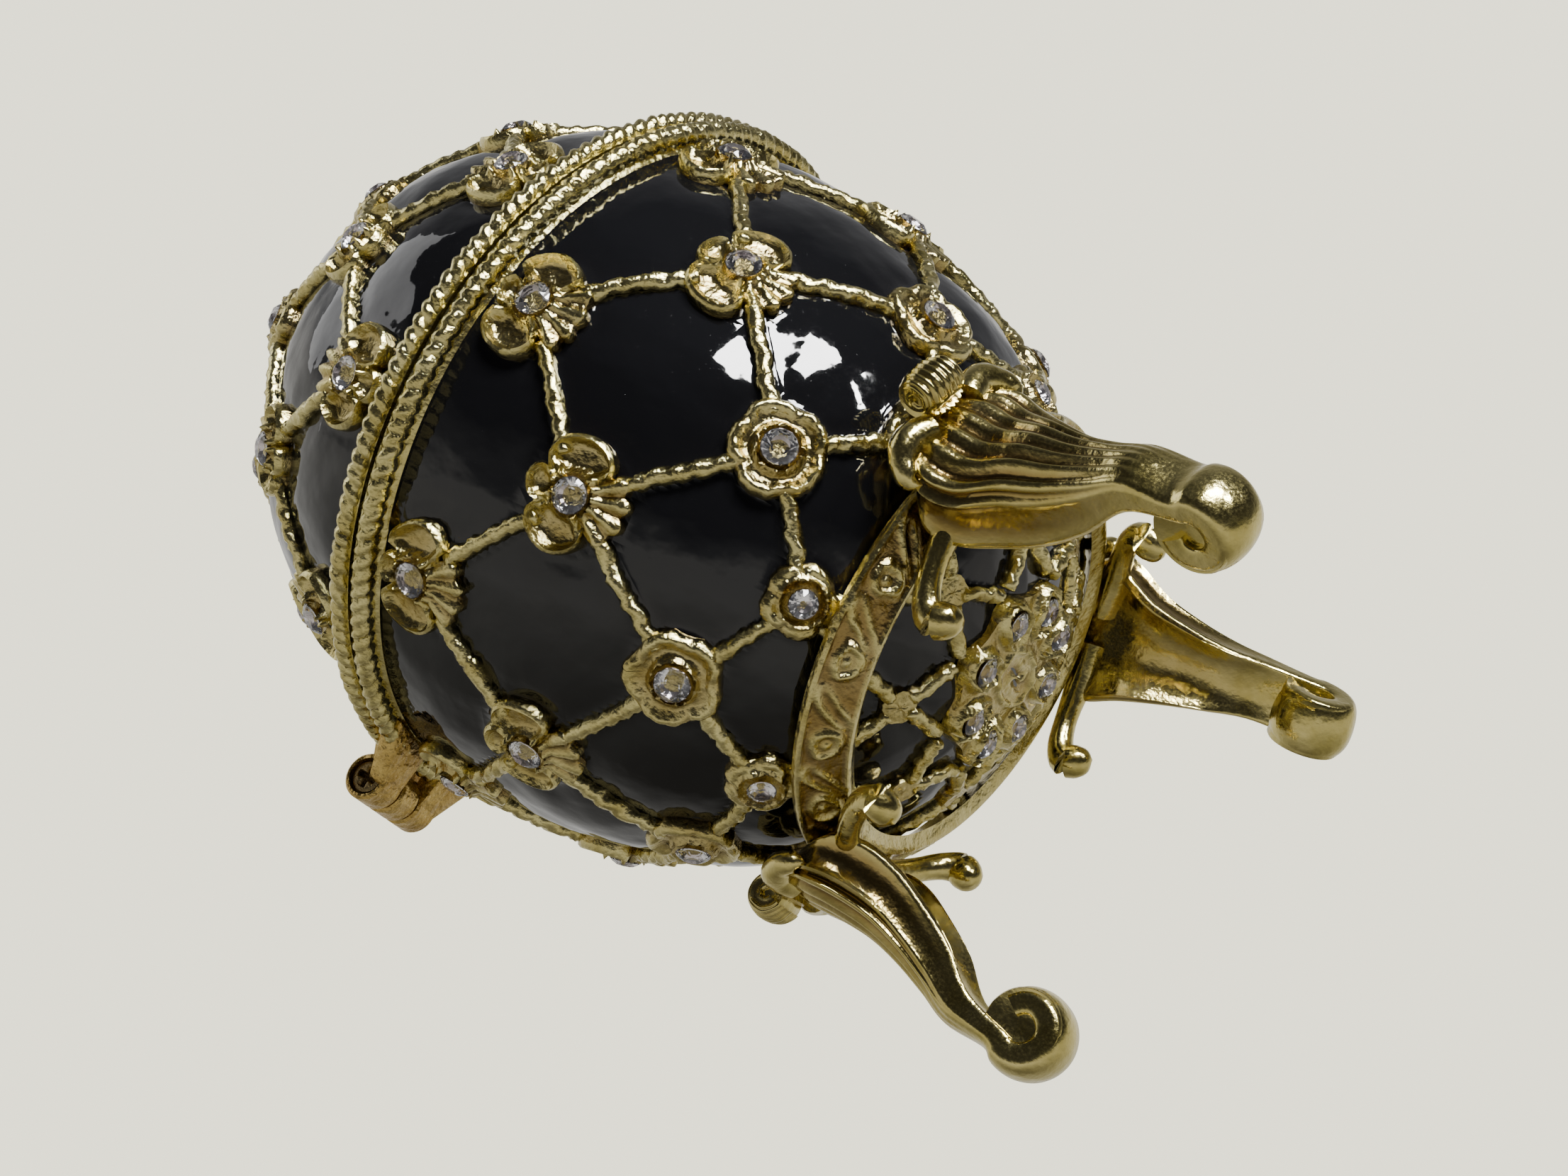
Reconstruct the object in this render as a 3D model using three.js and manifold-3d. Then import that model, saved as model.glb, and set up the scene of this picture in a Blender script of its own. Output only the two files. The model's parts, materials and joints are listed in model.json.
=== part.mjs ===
// Jewelled egg trinket box: a hollow egg in two castings joined by a hinge, on a three-legged stand.
// Millimetres, +Z up. The feet stand on Z = 0, the egg's axis is vertical and the hinge is at the back (+Y).

import * as THREE from 'three';
import { mergeVertices } from 'three/addons/utils/BufferGeometryUtils.js';
import Module from 'manifold-3d';

const wasm = await Module();
wasm.setup();

// ---- driving dimensions ----

const SEAM_Z = 45;              // plane where the lid meets the body
const SEAM_GAP = 0.3;           // between lid and body
const RIM_RADIUS = 23;          // outside of the rope round both rims
const RIM_DEPTH = 1.5;          // height of one rim rope
const RIM_SHOULDER = 0.6;       // how far its round edge is from the seam
const WALL = 1.5;               // thickness of the castings

// Both halves are superellipses of revolution that start at the seam.
// A cover closes the net at the pole: radii at its rope ends and between them, and its heights.
const BODY = {
  radius: 21.4,
  height: -30.5,
  power: 2.3,
  cover: { rings: [{ radii: [5.7, 5.2] }, { radii: [5.5, 5], z: 14.3 }], centreZ: 14.25 },
};
const LID = {
  radius: 20.6,
  height: 24,
  power: 1.85,
  cover: {
    rings: [{ radii: [3.3, 2.7] }, { radii: [3.2, 2.6], z: 69.35 }, { radii: [1.6, 1.6], z: 69.8 }],
    centreZ: 68.5,
  },
};

// The net: columns of 11.25 degrees, flowers in every fourth one, alternate rows half a step round.
const COLUMNS = 32;
const FLOWERS_IN_ROW = 8;
const NET_TURN = THREE.MathUtils.degToRad(3.75);
const ROPE_HALF_WIDTH = 0.6;
const ROPE_HEIGHT = 0.65;
const KNOT_RADIUS = 1.1;         // where ropes cross without a flower
const KNOT_HEIGHT = 0.8;

// Rows of the net, from the seam to the pole: height of the row and radius of its flowers, whose
// petals next to the rim (north) or to the stand (south) may be shorter.
// A row without flowers is only a knot where ropes cross.
const BODY_ROWS = [
  { name: 'row_a', z: 40.6, flower: 3.4, north: 2.5, stone: 1 },
  { name: 'row_b', z: 32.8, flower: 3.4, stone: 1 },
  { name: 'row_c', z: 25.0, flower: 2.9, stone: 1 },
  { name: 'row_d', z: 20.8, flower: 2.2, south: 1.6, stone: 0.8 },
  { name: 'knots', z: 16.3, flower: 0, stone: 0 },
  { name: 'medallion_edge', z: 15.2, flower: 0, stone: 0 },
];
const LID_ROWS = [
  { name: 'lid_row_a', z: 50.2, flower: 3.2, stone: 1 },
  { name: 'lid_row_b', z: 57.0, flower: 2.9, stone: 1 },
  { name: 'lid_row_c', z: 63.0, flower: 2.3, stone: 0 },
  { name: 'knots', z: 67.0, flower: 0, stone: 0 },
  { name: 'top_flower_edge', z: 68.35, flower: 0, stone: 0 },
];

// A flower: four petals between its ropes, round a bezel with a pocket for a pointed stone.
const PETAL_NOTCH = 0.8;        // radius between two petals, as a share of the flower's
const PETAL_EDGE = 0.5;         // height of the petals' edge above the enamel
const BEZEL_HEIGHT = 0.95;
const BEZEL_MARGIN = 0.3;       // bezel radius over the stone's
const POCKET_DEPTH = 1.1;
const SCENE_STONE = 0.85;       // pocket of the rows whose stones are too small to model here

// A stone: six sides, flat table, pointed underside.
const STONE_SIDES = 6;
const STONE_CROWN = 0.34;
const STONE_POINT = 0.85;
const TABLE_SHARE = 0.55;

// Medallion under the egg: eight set stones in a scalloped plate round an oval boss.
const MEDALLION_STONE_RING = 4.16;
const MEDALLION_FACE_Z = 14.25;
const MEDALLION_STONE = 0.85;
const POCKET_RADIUS = MEDALLION_STONE + 0.15;
const BOSS_LENGTH = 2.5;
const BOSS_WIDTH = 1.7;
const BOSS_DROP = 0.5;

// Hinge: two knuckles on the body, one on the lid, a screw through them along X.
const HINGE_Y = 24.6;
const KNUCKLE_RADIUS = 1.5;
const KNUCKLE_SIDES = 12;
const HINGE_LENGTH = 6.6;
const LID_KNUCKLE = 2.0;
const KNUCKLE_GAP = 0.2;
const BORE_RADIUS = 0.72;
const SCREW_RADIUS = 0.55;
const SCREW_HEAD_RADIUS = 1.0;
const SCREW_HEAD_HEIGHT = 0.7;
const SCREW_RECESS = 1.15;      // radius of the recess round the head

// Stand: a conical ring round the egg, three scroll legs, two side scrolls on each leg.
// One leg is bent further out than the other two.
const LEGS = [{ azimuth: 86.25, reach: 0 }, { azimuth: 206.25, reach: 1.6 }, { azimuth: 326.25, reach: -0.2 }];
const RING_SIDES = 32;
const FOOT_RADIUS = 2.7;
const FOOT_CENTRE = 16.7;       // distance of the foot scroll from the egg's axis
const FOOT_WIDTH = 3.8;
const FOOT_SIDES = 12;
const CURL_RADIUS = 1.6;        // rolled leaf tip at the top of a leg
const CURL_CENTRE = { r: 17.7, z: 19.8 };
const CURL_WIDTH = 3.4;
const SIDE_SCROLL_TURN = THREE.MathUtils.degToRad(34);
const SIDE_SCROLL_RADIUS = 1.25;

// ---- solids ----

function solid(geometry) {
  const bare = geometry.clone();
  bare.deleteAttribute('normal');
  bare.deleteAttribute('uv');
  const merged = mergeVertices(bare, 1e-4);
  const index = merged.index.array;
  const kept = [];
  for (let i = 0; i < index.length; i += 3) {
    const [a, b, c] = [index[i], index[i + 1], index[i + 2]];
    if (a !== b && b !== c && c !== a) kept.push(a, b, c);
  }
  return new wasm.Manifold(new wasm.Mesh({
    numProp: 3,
    vertProperties: new Float32Array(merged.attributes.position.array),
    triVerts: new Uint32Array(kept),
  }));
}

function geometryOf(manifold) {
  const mesh = manifold.getMesh();
  const geometry = new THREE.BufferGeometry();
  geometry.setAttribute('position', new THREE.BufferAttribute(new Float32Array(mesh.vertProperties), 3));
  geometry.setIndex(new THREE.BufferAttribute(new Uint32Array(mesh.triVerts), 1));
  geometry.computeVertexNormals();
  return geometry;
}

function joined(solids) {
  return solids.reduce((whole, next) => whole.add(next));
}

// A closed skin over rings of equal length: the first and last ring are closed with a fan.
function ringSkin(rings) {
  const count = rings[0].length;
  const centre = (ring) => ring.reduce((sum, p) => sum.add(p), new THREE.Vector3()).divideScalar(count);
  const points = [centre(rings[0]), ...rings.flat(), centre(rings[rings.length - 1])];
  const at = (ring, i) => 1 + ring * count + (i % count);
  const last = points.length - 1;
  const index = [];
  for (let i = 0; i < count; i++) {
    index.push(0, at(0, i + 1), at(0, i));
    index.push(last, at(rings.length - 1, i), at(rings.length - 1, i + 1));
    for (let r = 0; r + 1 < rings.length; r++) {
      index.push(at(r, i), at(r, i + 1), at(r + 1, i + 1));
      index.push(at(r, i), at(r + 1, i + 1), at(r + 1, i));
    }
  }
  return new THREE.BufferGeometry().setFromPoints(points).setIndex(index);
}

// A lathe turned about Z from [radius, z] pairs.
function turned(pairs, sides) {
  const profile = pairs.map(([r, z]) => new THREE.Vector2(r, z));
  return new THREE.LatheGeometry(profile, sides).rotateX(Math.PI / 2);
}

// A cylinder whose axis runs along X or Y, with a flat side or a corner down.
function roll(radius, width, sides, turn) {
  return new THREE.CylinderGeometry(radius, radius, width, sides, 1, false, turn);
}

// ---- the egg's surface ----

// The angle that a height has on a half's superellipse, 0 at the seam and 90 degrees at the pole.
function angleAt(half, z) {
  return Math.asin(Math.pow((z - SEAM_Z) / half.height, half.power / 2));
}

function pointOn(half, azimuth, angle) {
  const r = half.radius * Math.pow(Math.cos(angle), 2 / half.power);
  const z = SEAM_Z + half.height * Math.pow(Math.sin(angle), 2 / half.power);
  return new THREE.Vector3(r * Math.cos(azimuth), r * Math.sin(azimuth), z);
}

function columnAzimuth(column) {
  return NET_TURN + column * 2 * Math.PI / COLUMNS;
}

// The same place pushed onto the surface: a superellipse keeps its shape about its centre.
function onSurface(half, point) {
  const centre = new THREE.Vector3(0, 0, SEAM_Z);
  const offset = point.clone().sub(centre);
  const across = Math.pow(Math.hypot(offset.x, offset.y) / half.radius, half.power);
  const up = Math.pow(Math.abs(offset.z / half.height), half.power);
  return centre.addScaledVector(offset, Math.pow(across + up, -1 / half.power));
}

// Frame on the surface: east is along the parallel, north is towards the seam.
function frameAt(half, azimuth, angle) {
  const step = 0.01;
  const point = pointOn(half, azimuth, angle);
  const east = new THREE.Vector3(-Math.sin(azimuth), Math.cos(azimuth), 0);
  const north = pointOn(half, azimuth, angle - step).sub(pointOn(half, azimuth, angle + step)).normalize();
  const out = new THREE.Vector3().crossVectors(east, north).multiplyScalar(-Math.sign(half.height));
  return { half, point, east, north, out };
}

// A point beside a frame's point: x to the east, y to the north, then out of the enamel.
function beside(frame, x, y, height) {
  const flat = frame.point.clone().addScaledVector(frame.east, x).addScaledVector(frame.north, y);
  return onSurface(frame.half, flat).addScaledVector(frame.out, height);
}

// Direction in a frame from its own point to another.
function bearing(frame, target) {
  const offset = target.clone().sub(frame.point);
  return new THREE.Vector2(offset.dot(frame.east), offset.dot(frame.north)).normalize();
}

// ---- the net: flowers, ropes and the enamel between them, as one skin ----

// Ropes leave a crossing to the north-east, north-west, south-west and south-east, in that order.
// Petal q lies between rope q and the next one, so petal 0 points to the seam.
const NORTH_EAST = 0;
const NORTH_WEST = 1;
const SOUTH_WEST = 2;
const SOUTH_EAST = 3;
const NORTH_PETAL = 0;
const WEST_PETAL = 1;
const SOUTH_PETAL = 2;
const EAST_PETAL = 3;

class NetSkin {
  constructor(half, rows, firstColumn) {
    this.half = half;
    this.rows = rows;
    this.firstColumn = firstColumn;
    this.angles = rows.map((row) => angleAt(half, row.z));
    this.points = [];
    this.index = [];
    this.last = rows.length - 1;
    this.crossings = rows.slice(0, this.last).map((row, k) => this.ring((m) => this.crossing(row, k, m)));
    this.ends = this.ring((m) => this.ropeEnd(m));
  }

  ring(make) {
    return Array.from({ length: FLOWERS_IN_ROW }, (_, m) => make(m));
  }

  add(point) {
    return this.points.push(point) - 1;
  }

  triangle(a, b, c) {
    this.index.push(a, b, c);
  }

  quad(a, b, c, d) {
    this.triangle(a, b, c);
    this.triangle(a, c, d);
  }

  fan(outline, centre) {
    outline.forEach((a, i) => this.triangle(a, outline[(i + 1) % outline.length], centre));
  }

  column(k, m) {
    return this.firstColumn + 2 * k + 4 * m;
  }

  at(rings, k, m) {
    return rings[k][(m + FLOWERS_IN_ROW) % FLOWERS_IN_ROW];
  }

  // Middle of the rope that runs from row k to the next row, to the east (+1) or to the west (-1).
  middle(k, m, side) {
    const angle = (this.angles[k] + this.angles[k + 1]) / 2;
    return frameAt(this.half, columnAzimuth(this.column(k, m) + side), angle);
  }

  // A flower, or a plain knot where the row has none.
  crossing(row, k, m) {
    const frame = frameAt(this.half, columnAzimuth(this.column(k, m)), this.angles[k]);
    const targets = [
      k > 0 ? this.middle(k - 1, m + 1, -1).point : null,
      k > 0 ? this.middle(k - 1, m, 1).point : null,
      this.middle(k, m, -1).point,
      this.middle(k, m, 1).point,
    ];
    const plain = [[1, 1], [-1, 1], [-1, -1], [1, -1]];
    const radius = row.flower || KNOT_RADIUS;
    const ropes = targets.map((target, q) => {
      const way = target ? bearing(frame, target) : new THREE.Vector2(...plain[q]).normalize();
      return this.ropeRoot(frame, way, radius * PETAL_NOTCH, target !== null);
    });
    const reach = [row.north || radius, radius, row.south || radius, radius];
    const petals = ropes.map((rope, q) => {
      const way = rope.way.clone().add(ropes[(q + 1) % 4].way).normalize();
      const foot = this.add(beside(frame, way.x * reach[q], way.y * reach[q], 0));
      const inset = reach[q] - 0.15;
      const tip = this.add(beside(frame, way.x * inset, way.y * inset, PETAL_EDGE));
      return { way, foot, tip };
    });
    this.petalWalls(ropes, petals);
    this.face(frame, row, ropes, petals);
    return { ropes, petals };
  }

  // Where a rope leaves a crossing: a ridge with a foot on either side, or one foot in a bare notch.
  ropeRoot(frame, way, radius, hasRope) {
    const foot = (side) => {
      const width = hasRope ? side * ROPE_HALF_WIDTH : 0;
      return this.add(beside(frame, way.x * radius - way.y * width, way.y * radius + way.x * width, 0));
    };
    const ridge = this.add(beside(frame, way.x * radius, way.y * radius, PETAL_EDGE));
    const left = foot(1);
    return { way, ridge, left, right: hasRope ? foot(-1) : left };
  }

  petalWalls(ropes, petals) {
    petals.forEach((petal, q) => {
      const next = ropes[(q + 1) % 4];
      this.quad(ropes[q].left, petal.foot, petal.tip, ropes[q].ridge);
      this.quad(petal.foot, next.right, next.ridge, petal.tip);
    });
  }

  // Top of a crossing: petals that rise to a bezel with a pointed pocket, or a plain low knot.
  face(frame, row, ropes, petals) {
    const edge = ropes.flatMap((rope, q) => [rope.ridge, petals[q].tip]);
    if (row.flower === 0) {
      this.fan(edge, this.add(beside(frame, 0, 0, KNOT_HEIGHT)));
      return;
    }
    const radius = (row.stone || SCENE_STONE) + BEZEL_MARGIN;
    const bezel = ropes.flatMap((rope, q) => [rope.way, petals[q].way]).map((way) => {
      const rim = frame.point.clone().addScaledVector(frame.out, BEZEL_HEIGHT);
      rim.addScaledVector(frame.east, way.x * radius).addScaledVector(frame.north, way.y * radius);
      return this.add(rim);
    });
    edge.forEach((outer, i) => {
      const j = (i + 1) % edge.length;
      this.quad(outer, edge[j], bezel[j], bezel[i]);
    });
    this.fan(bezel, this.add(frame.point.clone().addScaledVector(frame.out, BEZEL_HEIGHT - POCKET_DEPTH)));
  }

  // Two ropes run together into the edge of the medallion or of the top flower.
  ropeEnd(m) {
    const frame = frameAt(this.half, columnAzimuth(this.column(this.last, m)), this.angles[this.last]);
    const west = this.add(beside(frame, -ROPE_HALF_WIDTH, 0, 0));
    const east = this.add(beside(frame, ROPE_HALF_WIDTH, 0, 0));
    const fork = this.add(beside(frame, 0, 2 * ROPE_HALF_WIDTH, 0));
    const ridge = this.add(beside(frame, 0, 0.3, PETAL_EDGE));
    this.triangle(west, east, ridge);
    return { west, east, fork, ridge };
  }

  // Both slopes of a rope, from its root over its middle to its far end.
  rope(frame, way, root, end) {
    const x = -way.y * ROPE_HALF_WIDTH;
    const y = way.x * ROPE_HALF_WIDTH;
    const left = this.add(beside(frame, x, y, 0));
    const right = this.add(beside(frame, -x, -y, 0));
    const ridge = this.add(beside(frame, 0, 0, ROPE_HEIGHT));
    this.quad(root.ridge, ridge, left, root.left);
    this.quad(root.right, right, ridge, root.ridge);
    this.quad(ridge, end.ridge, end.left, left);
    this.quad(right, end.right, end.ridge, ridge);
    return { left, right };
  }

  // The ropes from row k to the next row: eastward and westward one of every crossing.
  ropesBelow(k) {
    return this.ring((m) => {
      const from = this.crossings[k][m].ropes;
      const run = (side, q, m2) => {
        const frame = this.middle(k, m, side);
        const way = bearing(frame, this.farPoint(k + 1, m2));
        return this.rope(frame, way, from[q], this.farEnd(k + 1, m2, side));
      };
      return { east: run(1, SOUTH_EAST, m), west: run(-1, SOUTH_WEST, m - 1) };
    });
  }

  farPoint(k, m) {
    return pointOn(this.half, columnAzimuth(this.column(k, m)), this.angles[k]);
  }

  // The far end's feet, named as seen along the rope.
  farEnd(k, m, side) {
    if (k === this.last) {
      const end = this.at([this.ends], 0, m);
      return side > 0
        ? { ridge: end.ridge, left: end.fork, right: end.west }
        : { ridge: end.ridge, left: end.east, right: end.fork };
    }
    const root = this.at(this.crossings, k, m).ropes[side > 0 ? NORTH_WEST : NORTH_EAST];
    return { ridge: root.ridge, left: root.right, right: root.left };
  }

  // The foot of one petal, from the rope after it to the rope before it.
  petalFoot(k, m, q) {
    const { ropes, petals } = this.at(this.crossings, k, m);
    return [ropes[(q + 1) % 4].right, petals[q].foot, ropes[q].left];
  }

  // A pillow of enamel inside an outline.
  pillow(outline) {
    const sum = outline.reduce((total, i) => total.add(this.points[i]), new THREE.Vector3());
    const centre = onSurface(this.half, sum.divideScalar(outline.length));
    this.fan(outline, this.add(centre));
  }

  // The four-sided cell below a crossing.
  cell(k, m) {
    const bottom = k + 2 === this.last
      ? [this.at([this.ends], 0, m - 1).fork]
      : this.petalFoot(k + 2, m - 1, NORTH_PETAL);
    this.pillow([
      ...this.petalFoot(k, m, SOUTH_PETAL),
      this.at(this.ropes, k, m).west.left,
      ...this.petalFoot(k + 1, m - 1, EAST_PETAL),
      this.at(this.ropes, k + 1, m - 1).east.left,
      ...bottom,
      this.at(this.ropes, k + 1, m).west.right,
      ...this.petalFoot(k + 1, m, WEST_PETAL),
      this.at(this.ropes, k, m).east.right,
    ]);
  }

  // The open cell between the rim and two flowers of the first row.
  seamCell(rimFoot, m) {
    const west = this.at(this.crossings, 0, m);
    const east = this.at(this.crossings, 0, m + 1);
    const edge = [4, 3, 2, 1, 0].map((step) => rimFoot[(4 * m + step) % COLUMNS]);
    this.pillow([
      ...edge,
      west.petals[NORTH_PETAL].foot,
      ...this.petalFoot(0, m, EAST_PETAL),
      this.at(this.ropes, 0, m).east.left,
      ...this.petalFoot(1, m, NORTH_PETAL),
      this.at(this.ropes, 0, m + 1).west.right,
      ...this.petalFoot(0, m + 1, WEST_PETAL),
      east.petals[NORTH_PETAL].foot,
    ]);
  }

  // What covers the pole: rings with a point for every rope end and every crossing, then a centre.
  poleCap() {
    const first = this.column(this.last, 0);
    const cover = this.half.cover.rings.map(({ radii, z }) => {
      return Array.from({ length: 2 * FLOWERS_IN_ROW }, (_, i) => {
        const azimuth = columnAzimuth(first + 2 * i);
        const radius = radii[i % 2];
        const point = new THREE.Vector3(radius * Math.cos(azimuth), radius * Math.sin(azimuth), 0);
        return this.add(z === undefined ? onSurface(this.half, point.setZ(this.poleZ())) : point.setZ(z));
      });
    });
    this.ring((m) => this.poleSector(cover[0], m));
    for (let k = 1; k < cover.length; k++) {
      cover[k].forEach((_, i) => {
        const j = (i + 1) % cover[k].length;
        this.quad(cover[k - 1][j], cover[k - 1][i], cover[k][i], cover[k][j]);
      });
    }
    this.fan(cover.at(-1).reverse(), this.add(new THREE.Vector3(0, 0, this.half.cover.centreZ)));
  }

  poleZ() {
    return SEAM_Z + this.half.height;
  }

  // The enamel between one rope end, the crossing west of it and the cover's foot.
  poleSector(foot, m) {
    const row = this.last - 1;
    const count = foot.length;
    const [near, far, next] = [0, -1, -2].map((step) => foot[(2 * m + step + count) % count]);
    const end = this.ends[m];
    const eastFoot = this.at(this.ropes, row, m).east.right;
    const westFoot = this.at(this.ropes, row, m).west.left;
    this.triangle(end.east, end.west, near);
    this.triangle(end.west, eastFoot, near);
    this.triangle(eastFoot, far, near);
    const edge = [eastFoot, ...this.petalFoot(row, m, SOUTH_PETAL), westFoot];
    for (let i = 0; i + 1 < edge.length; i++) this.triangle(edge[i], edge[i + 1], far);
    this.triangle(westFoot, next, far);
    this.triangle(westFoot, this.at([this.ends], 0, m - 1).east, next);
  }

  // Flat of the seam and the rope round it; gives the rope's foot on the enamel.
  rim() {
    const sign = Math.sign(this.half.height);
    const seamZ = SEAM_Z + sign * SEAM_GAP / 2;
    const circle = (radius, z) => Array.from({ length: COLUMNS }, (_, i) => {
      const azimuth = columnAzimuth(this.firstColumn + i);
      return this.add(new THREE.Vector3(radius * Math.cos(azimuth), radius * Math.sin(azimuth), z));
    });
    const footAngle = angleAt(this.half, seamZ + sign * RIM_DEPTH);
    const footPoint = pointOn(this.half, 0, footAngle);
    const rings = [
      circle(RIM_RADIUS - RIM_SHOULDER, seamZ),
      circle(RIM_RADIUS, seamZ + sign * RIM_SHOULDER),
      circle(footPoint.x, footPoint.z),
    ];
    this.fan(rings[0], this.add(new THREE.Vector3(0, 0, seamZ)));
    for (let k = 0; k < 2; k++) {
      rings[k].forEach((_, i) => {
        const j = (i + 1) % COLUMNS;
        this.quad(rings[k][i], rings[k + 1][i], rings[k + 1][j], rings[k][j]);
      });
    }
    return rings[2];
  }

  build() {
    const foot = this.rim();
    this.ropes = this.crossings.map((_, k) => this.ropesBelow(k));
    for (let m = 0; m < FLOWERS_IN_ROW; m++) {
      this.seamCell(foot, m);
      for (let k = 0; k + 2 <= this.last; k++) this.cell(k, m);
    }
    this.poleCap();
    if (this.half.height > 0) this.index.reverse();
    return solid(new THREE.BufferGeometry().setFromPoints(this.points).setIndex(this.index));
  }
}

// The hollow of a half, open past the seam.
function hollow(half, levels, sides) {
  const sign = Math.sign(half.height);
  const inside = { ...half, radius: half.radius - WALL, height: half.height - sign * WALL };
  const pairs = [[0, SEAM_Z - sign * 2], [inside.radius, SEAM_Z - sign * 2], [inside.radius, SEAM_Z]];
  for (let k = 1; k <= levels; k++) {
    const angle = Math.PI / 2 * k / levels;
    const p = pointOn(inside, 0, angle);
    pairs.push([k === levels ? 0 : p.x, p.z]);
  }
  if (sign < 0) pairs.reverse();
  return solid(turned(pairs, sides));
}

// ---- relief ----

function stoneGeometry(radius) {
  const pairs = [[0, -STONE_POINT], [radius, 0], [TABLE_SHARE * radius, STONE_CROWN], [0, STONE_CROWN]];
  return geometryOf(solid(turned(pairs, STONE_SIDES)));
}

// The stones of the rows, each a mesh of its own standing just clear of its pocket.
function rowStones(half, rows, firstColumn, material) {
  const list = [];
  rows.forEach((row, k) => {
    if (row.stone === 0) return;
    const geometry = stoneGeometry(row.stone);
    for (let i = 0; i < FLOWERS_IN_ROW; i++) {
      const frame = frameAt(half, columnAzimuth(firstColumn + 2 * k + 4 * i), angleAt(half, row.z));
      const north = new THREE.Vector3().crossVectors(frame.out, frame.east);
      const place = new THREE.Matrix4().makeBasis(frame.east, north, frame.out).setPosition(frame.point);
      place.multiply(new THREE.Matrix4().makeTranslation(0, 0, BEZEL_HEIGHT + 0.02));
      list.push(stone(`stone_${row.name}_${i + 1}`, geometry, place, material));
    }
  });
  return list;
}

function stone(name, geometry, place, material) {
  const mesh = new THREE.Mesh(geometry, material);
  mesh.name = name;
  mesh.applyMatrix4(place);
  return mesh;
}

// ---- medallion ----

function medallionPlaces() {
  return Array.from({ length: FLOWERS_IN_ROW }, (_, i) => {
    const azimuth = NET_TURN + (i + 0.5) * 2 * Math.PI / FLOWERS_IN_ROW;
    return new THREE.Matrix4().makeRotationZ(azimuth)
      .multiply(new THREE.Matrix4().makeTranslation(MEDALLION_STONE_RING, 0, MEDALLION_FACE_Z))
      .multiply(new THREE.Matrix4().makeRotationX(Math.PI));
  });
}

// The oval boss in the middle of the medallion.
function boss() {
  const ring = (share, z) => Array.from({ length: 10 }, (_, i) => {
    const turn = i * 2 * Math.PI / 10;
    return new THREE.Vector3(BOSS_LENGTH * share * Math.cos(turn), BOSS_WIDTH * share * Math.sin(turn), z);
  });
  return solid(ringSkin([ring(0.5, MEDALLION_FACE_Z - BOSS_DROP), ring(1, MEDALLION_FACE_Z), ring(1, 15)]));
}

function medallionPockets() {
  const cone = turned([[0, -POCKET_DEPTH], [POCKET_RADIUS, 0], [POCKET_RADIUS, 1], [0, 1]], STONE_SIDES);
  return medallionPlaces().map((place) => solid(cone.clone().applyMatrix4(place)));
}

// ---- hinge ----

// A roll along X at the hinge, between two places on its length.
function hingeRoll(radius, from, to, sides) {
  const cylinder = roll(radius, to - from, sides, 0).rotateZ(Math.PI / 2);
  return solid(cylinder.translate((from + to) / 2, HINGE_Y, SEAM_Z));
}

// A knuckle with the arm that carries it from the rim of its half.
function knuckle(half, from, to) {
  const sign = Math.sign(half.height);
  const near = SEAM_Z + sign * SEAM_GAP / 2;
  const far = SEAM_Z + sign * KNUCKLE_RADIUS * 0.95;
  const reach = HINGE_Y - half.radius + 0.9;
  const arm = new THREE.BoxGeometry(to - from, reach, Math.abs(far - near));
  arm.translate((from + to) / 2, HINGE_Y - reach / 2, (near + far) / 2);
  return hingeRoll(KNUCKLE_RADIUS, from, to, KNUCKLE_SIDES).add(solid(arm));
}

function hingeBore() {
  return hingeRoll(BORE_RADIUS, -HINGE_LENGTH, HINGE_LENGTH, 8);
}

function bodyKnuckles() {
  const inner = LID_KNUCKLE / 2 + KNUCKLE_GAP;
  return [knuckle(BODY, -HINGE_LENGTH / 2, -inner), knuckle(BODY, inner, HINGE_LENGTH / 2)];
}

function screwRecess() {
  return hingeRoll(SCREW_RECESS, -HINGE_LENGTH, -HINGE_LENGTH / 2 + SCREW_HEAD_HEIGHT, 12);
}

function hingeScrew() {
  const headEnd = -HINGE_LENGTH / 2 + SCREW_HEAD_HEIGHT - 0.15;
  const head = hingeRoll(SCREW_HEAD_RADIUS, headEnd - SCREW_HEAD_HEIGHT, headEnd, 12);
  return head.add(hingeRoll(SCREW_RADIUS, headEnd - 0.1, HINGE_LENGTH / 2 - 0.3, 8));
}

// ---- castings ----

function eggBody() {
  return joined([new NetSkin(BODY, BODY_ROWS, 0).build(), boss(), ...bodyKnuckles()])
    .subtract(joined(medallionPockets()))
    .subtract(hollow(BODY, 7, 24))
    .subtract(hingeBore())
    .subtract(screwRecess());
}

function eggLid() {
  return new NetSkin(LID, LID_ROWS, 2).build()
    .add(knuckle(LID, -LID_KNUCKLE / 2, LID_KNUCKLE / 2))
    .subtract(hollow(LID, 6, 24))
    .subtract(hingeBore());
}

// ---- stand ----

// Conical ring that hugs the egg just outside its ropes.
function standRing() {
  const section = [[11.4, 16.8], [12.25, 16.4], [14.6, 18.3], [14.4, 18.75], [13.5, 18.75], [11.4, 16.8]];
  return turned(section, RING_SIDES);
}

// Side view of a leg in radius and height: swelling front, waisted back, round foot below.
function legSide(curl, foot) {
  const shape = new THREE.Shape();
  shape.moveTo(curl - 1.3, 20.2);
  shape.bezierCurveTo(curl - 0.1, 16.6, foot - 0.2, 12, foot + 2.1, 7);
  shape.lineTo(foot + 2.6, 4);
  shape.lineTo(foot, 2.7);
  shape.lineTo(foot - 1.8, 4.7);
  shape.lineTo(foot - 0.4, 6.2);
  shape.bezierCurveTo(foot - 1.3, 9.8, 12.6, 9.6, 11.7, 14.2);
  shape.lineTo(12.3, 17.1);
  shape.lineTo(14.4, 18.3);
  return shape;
}

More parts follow.
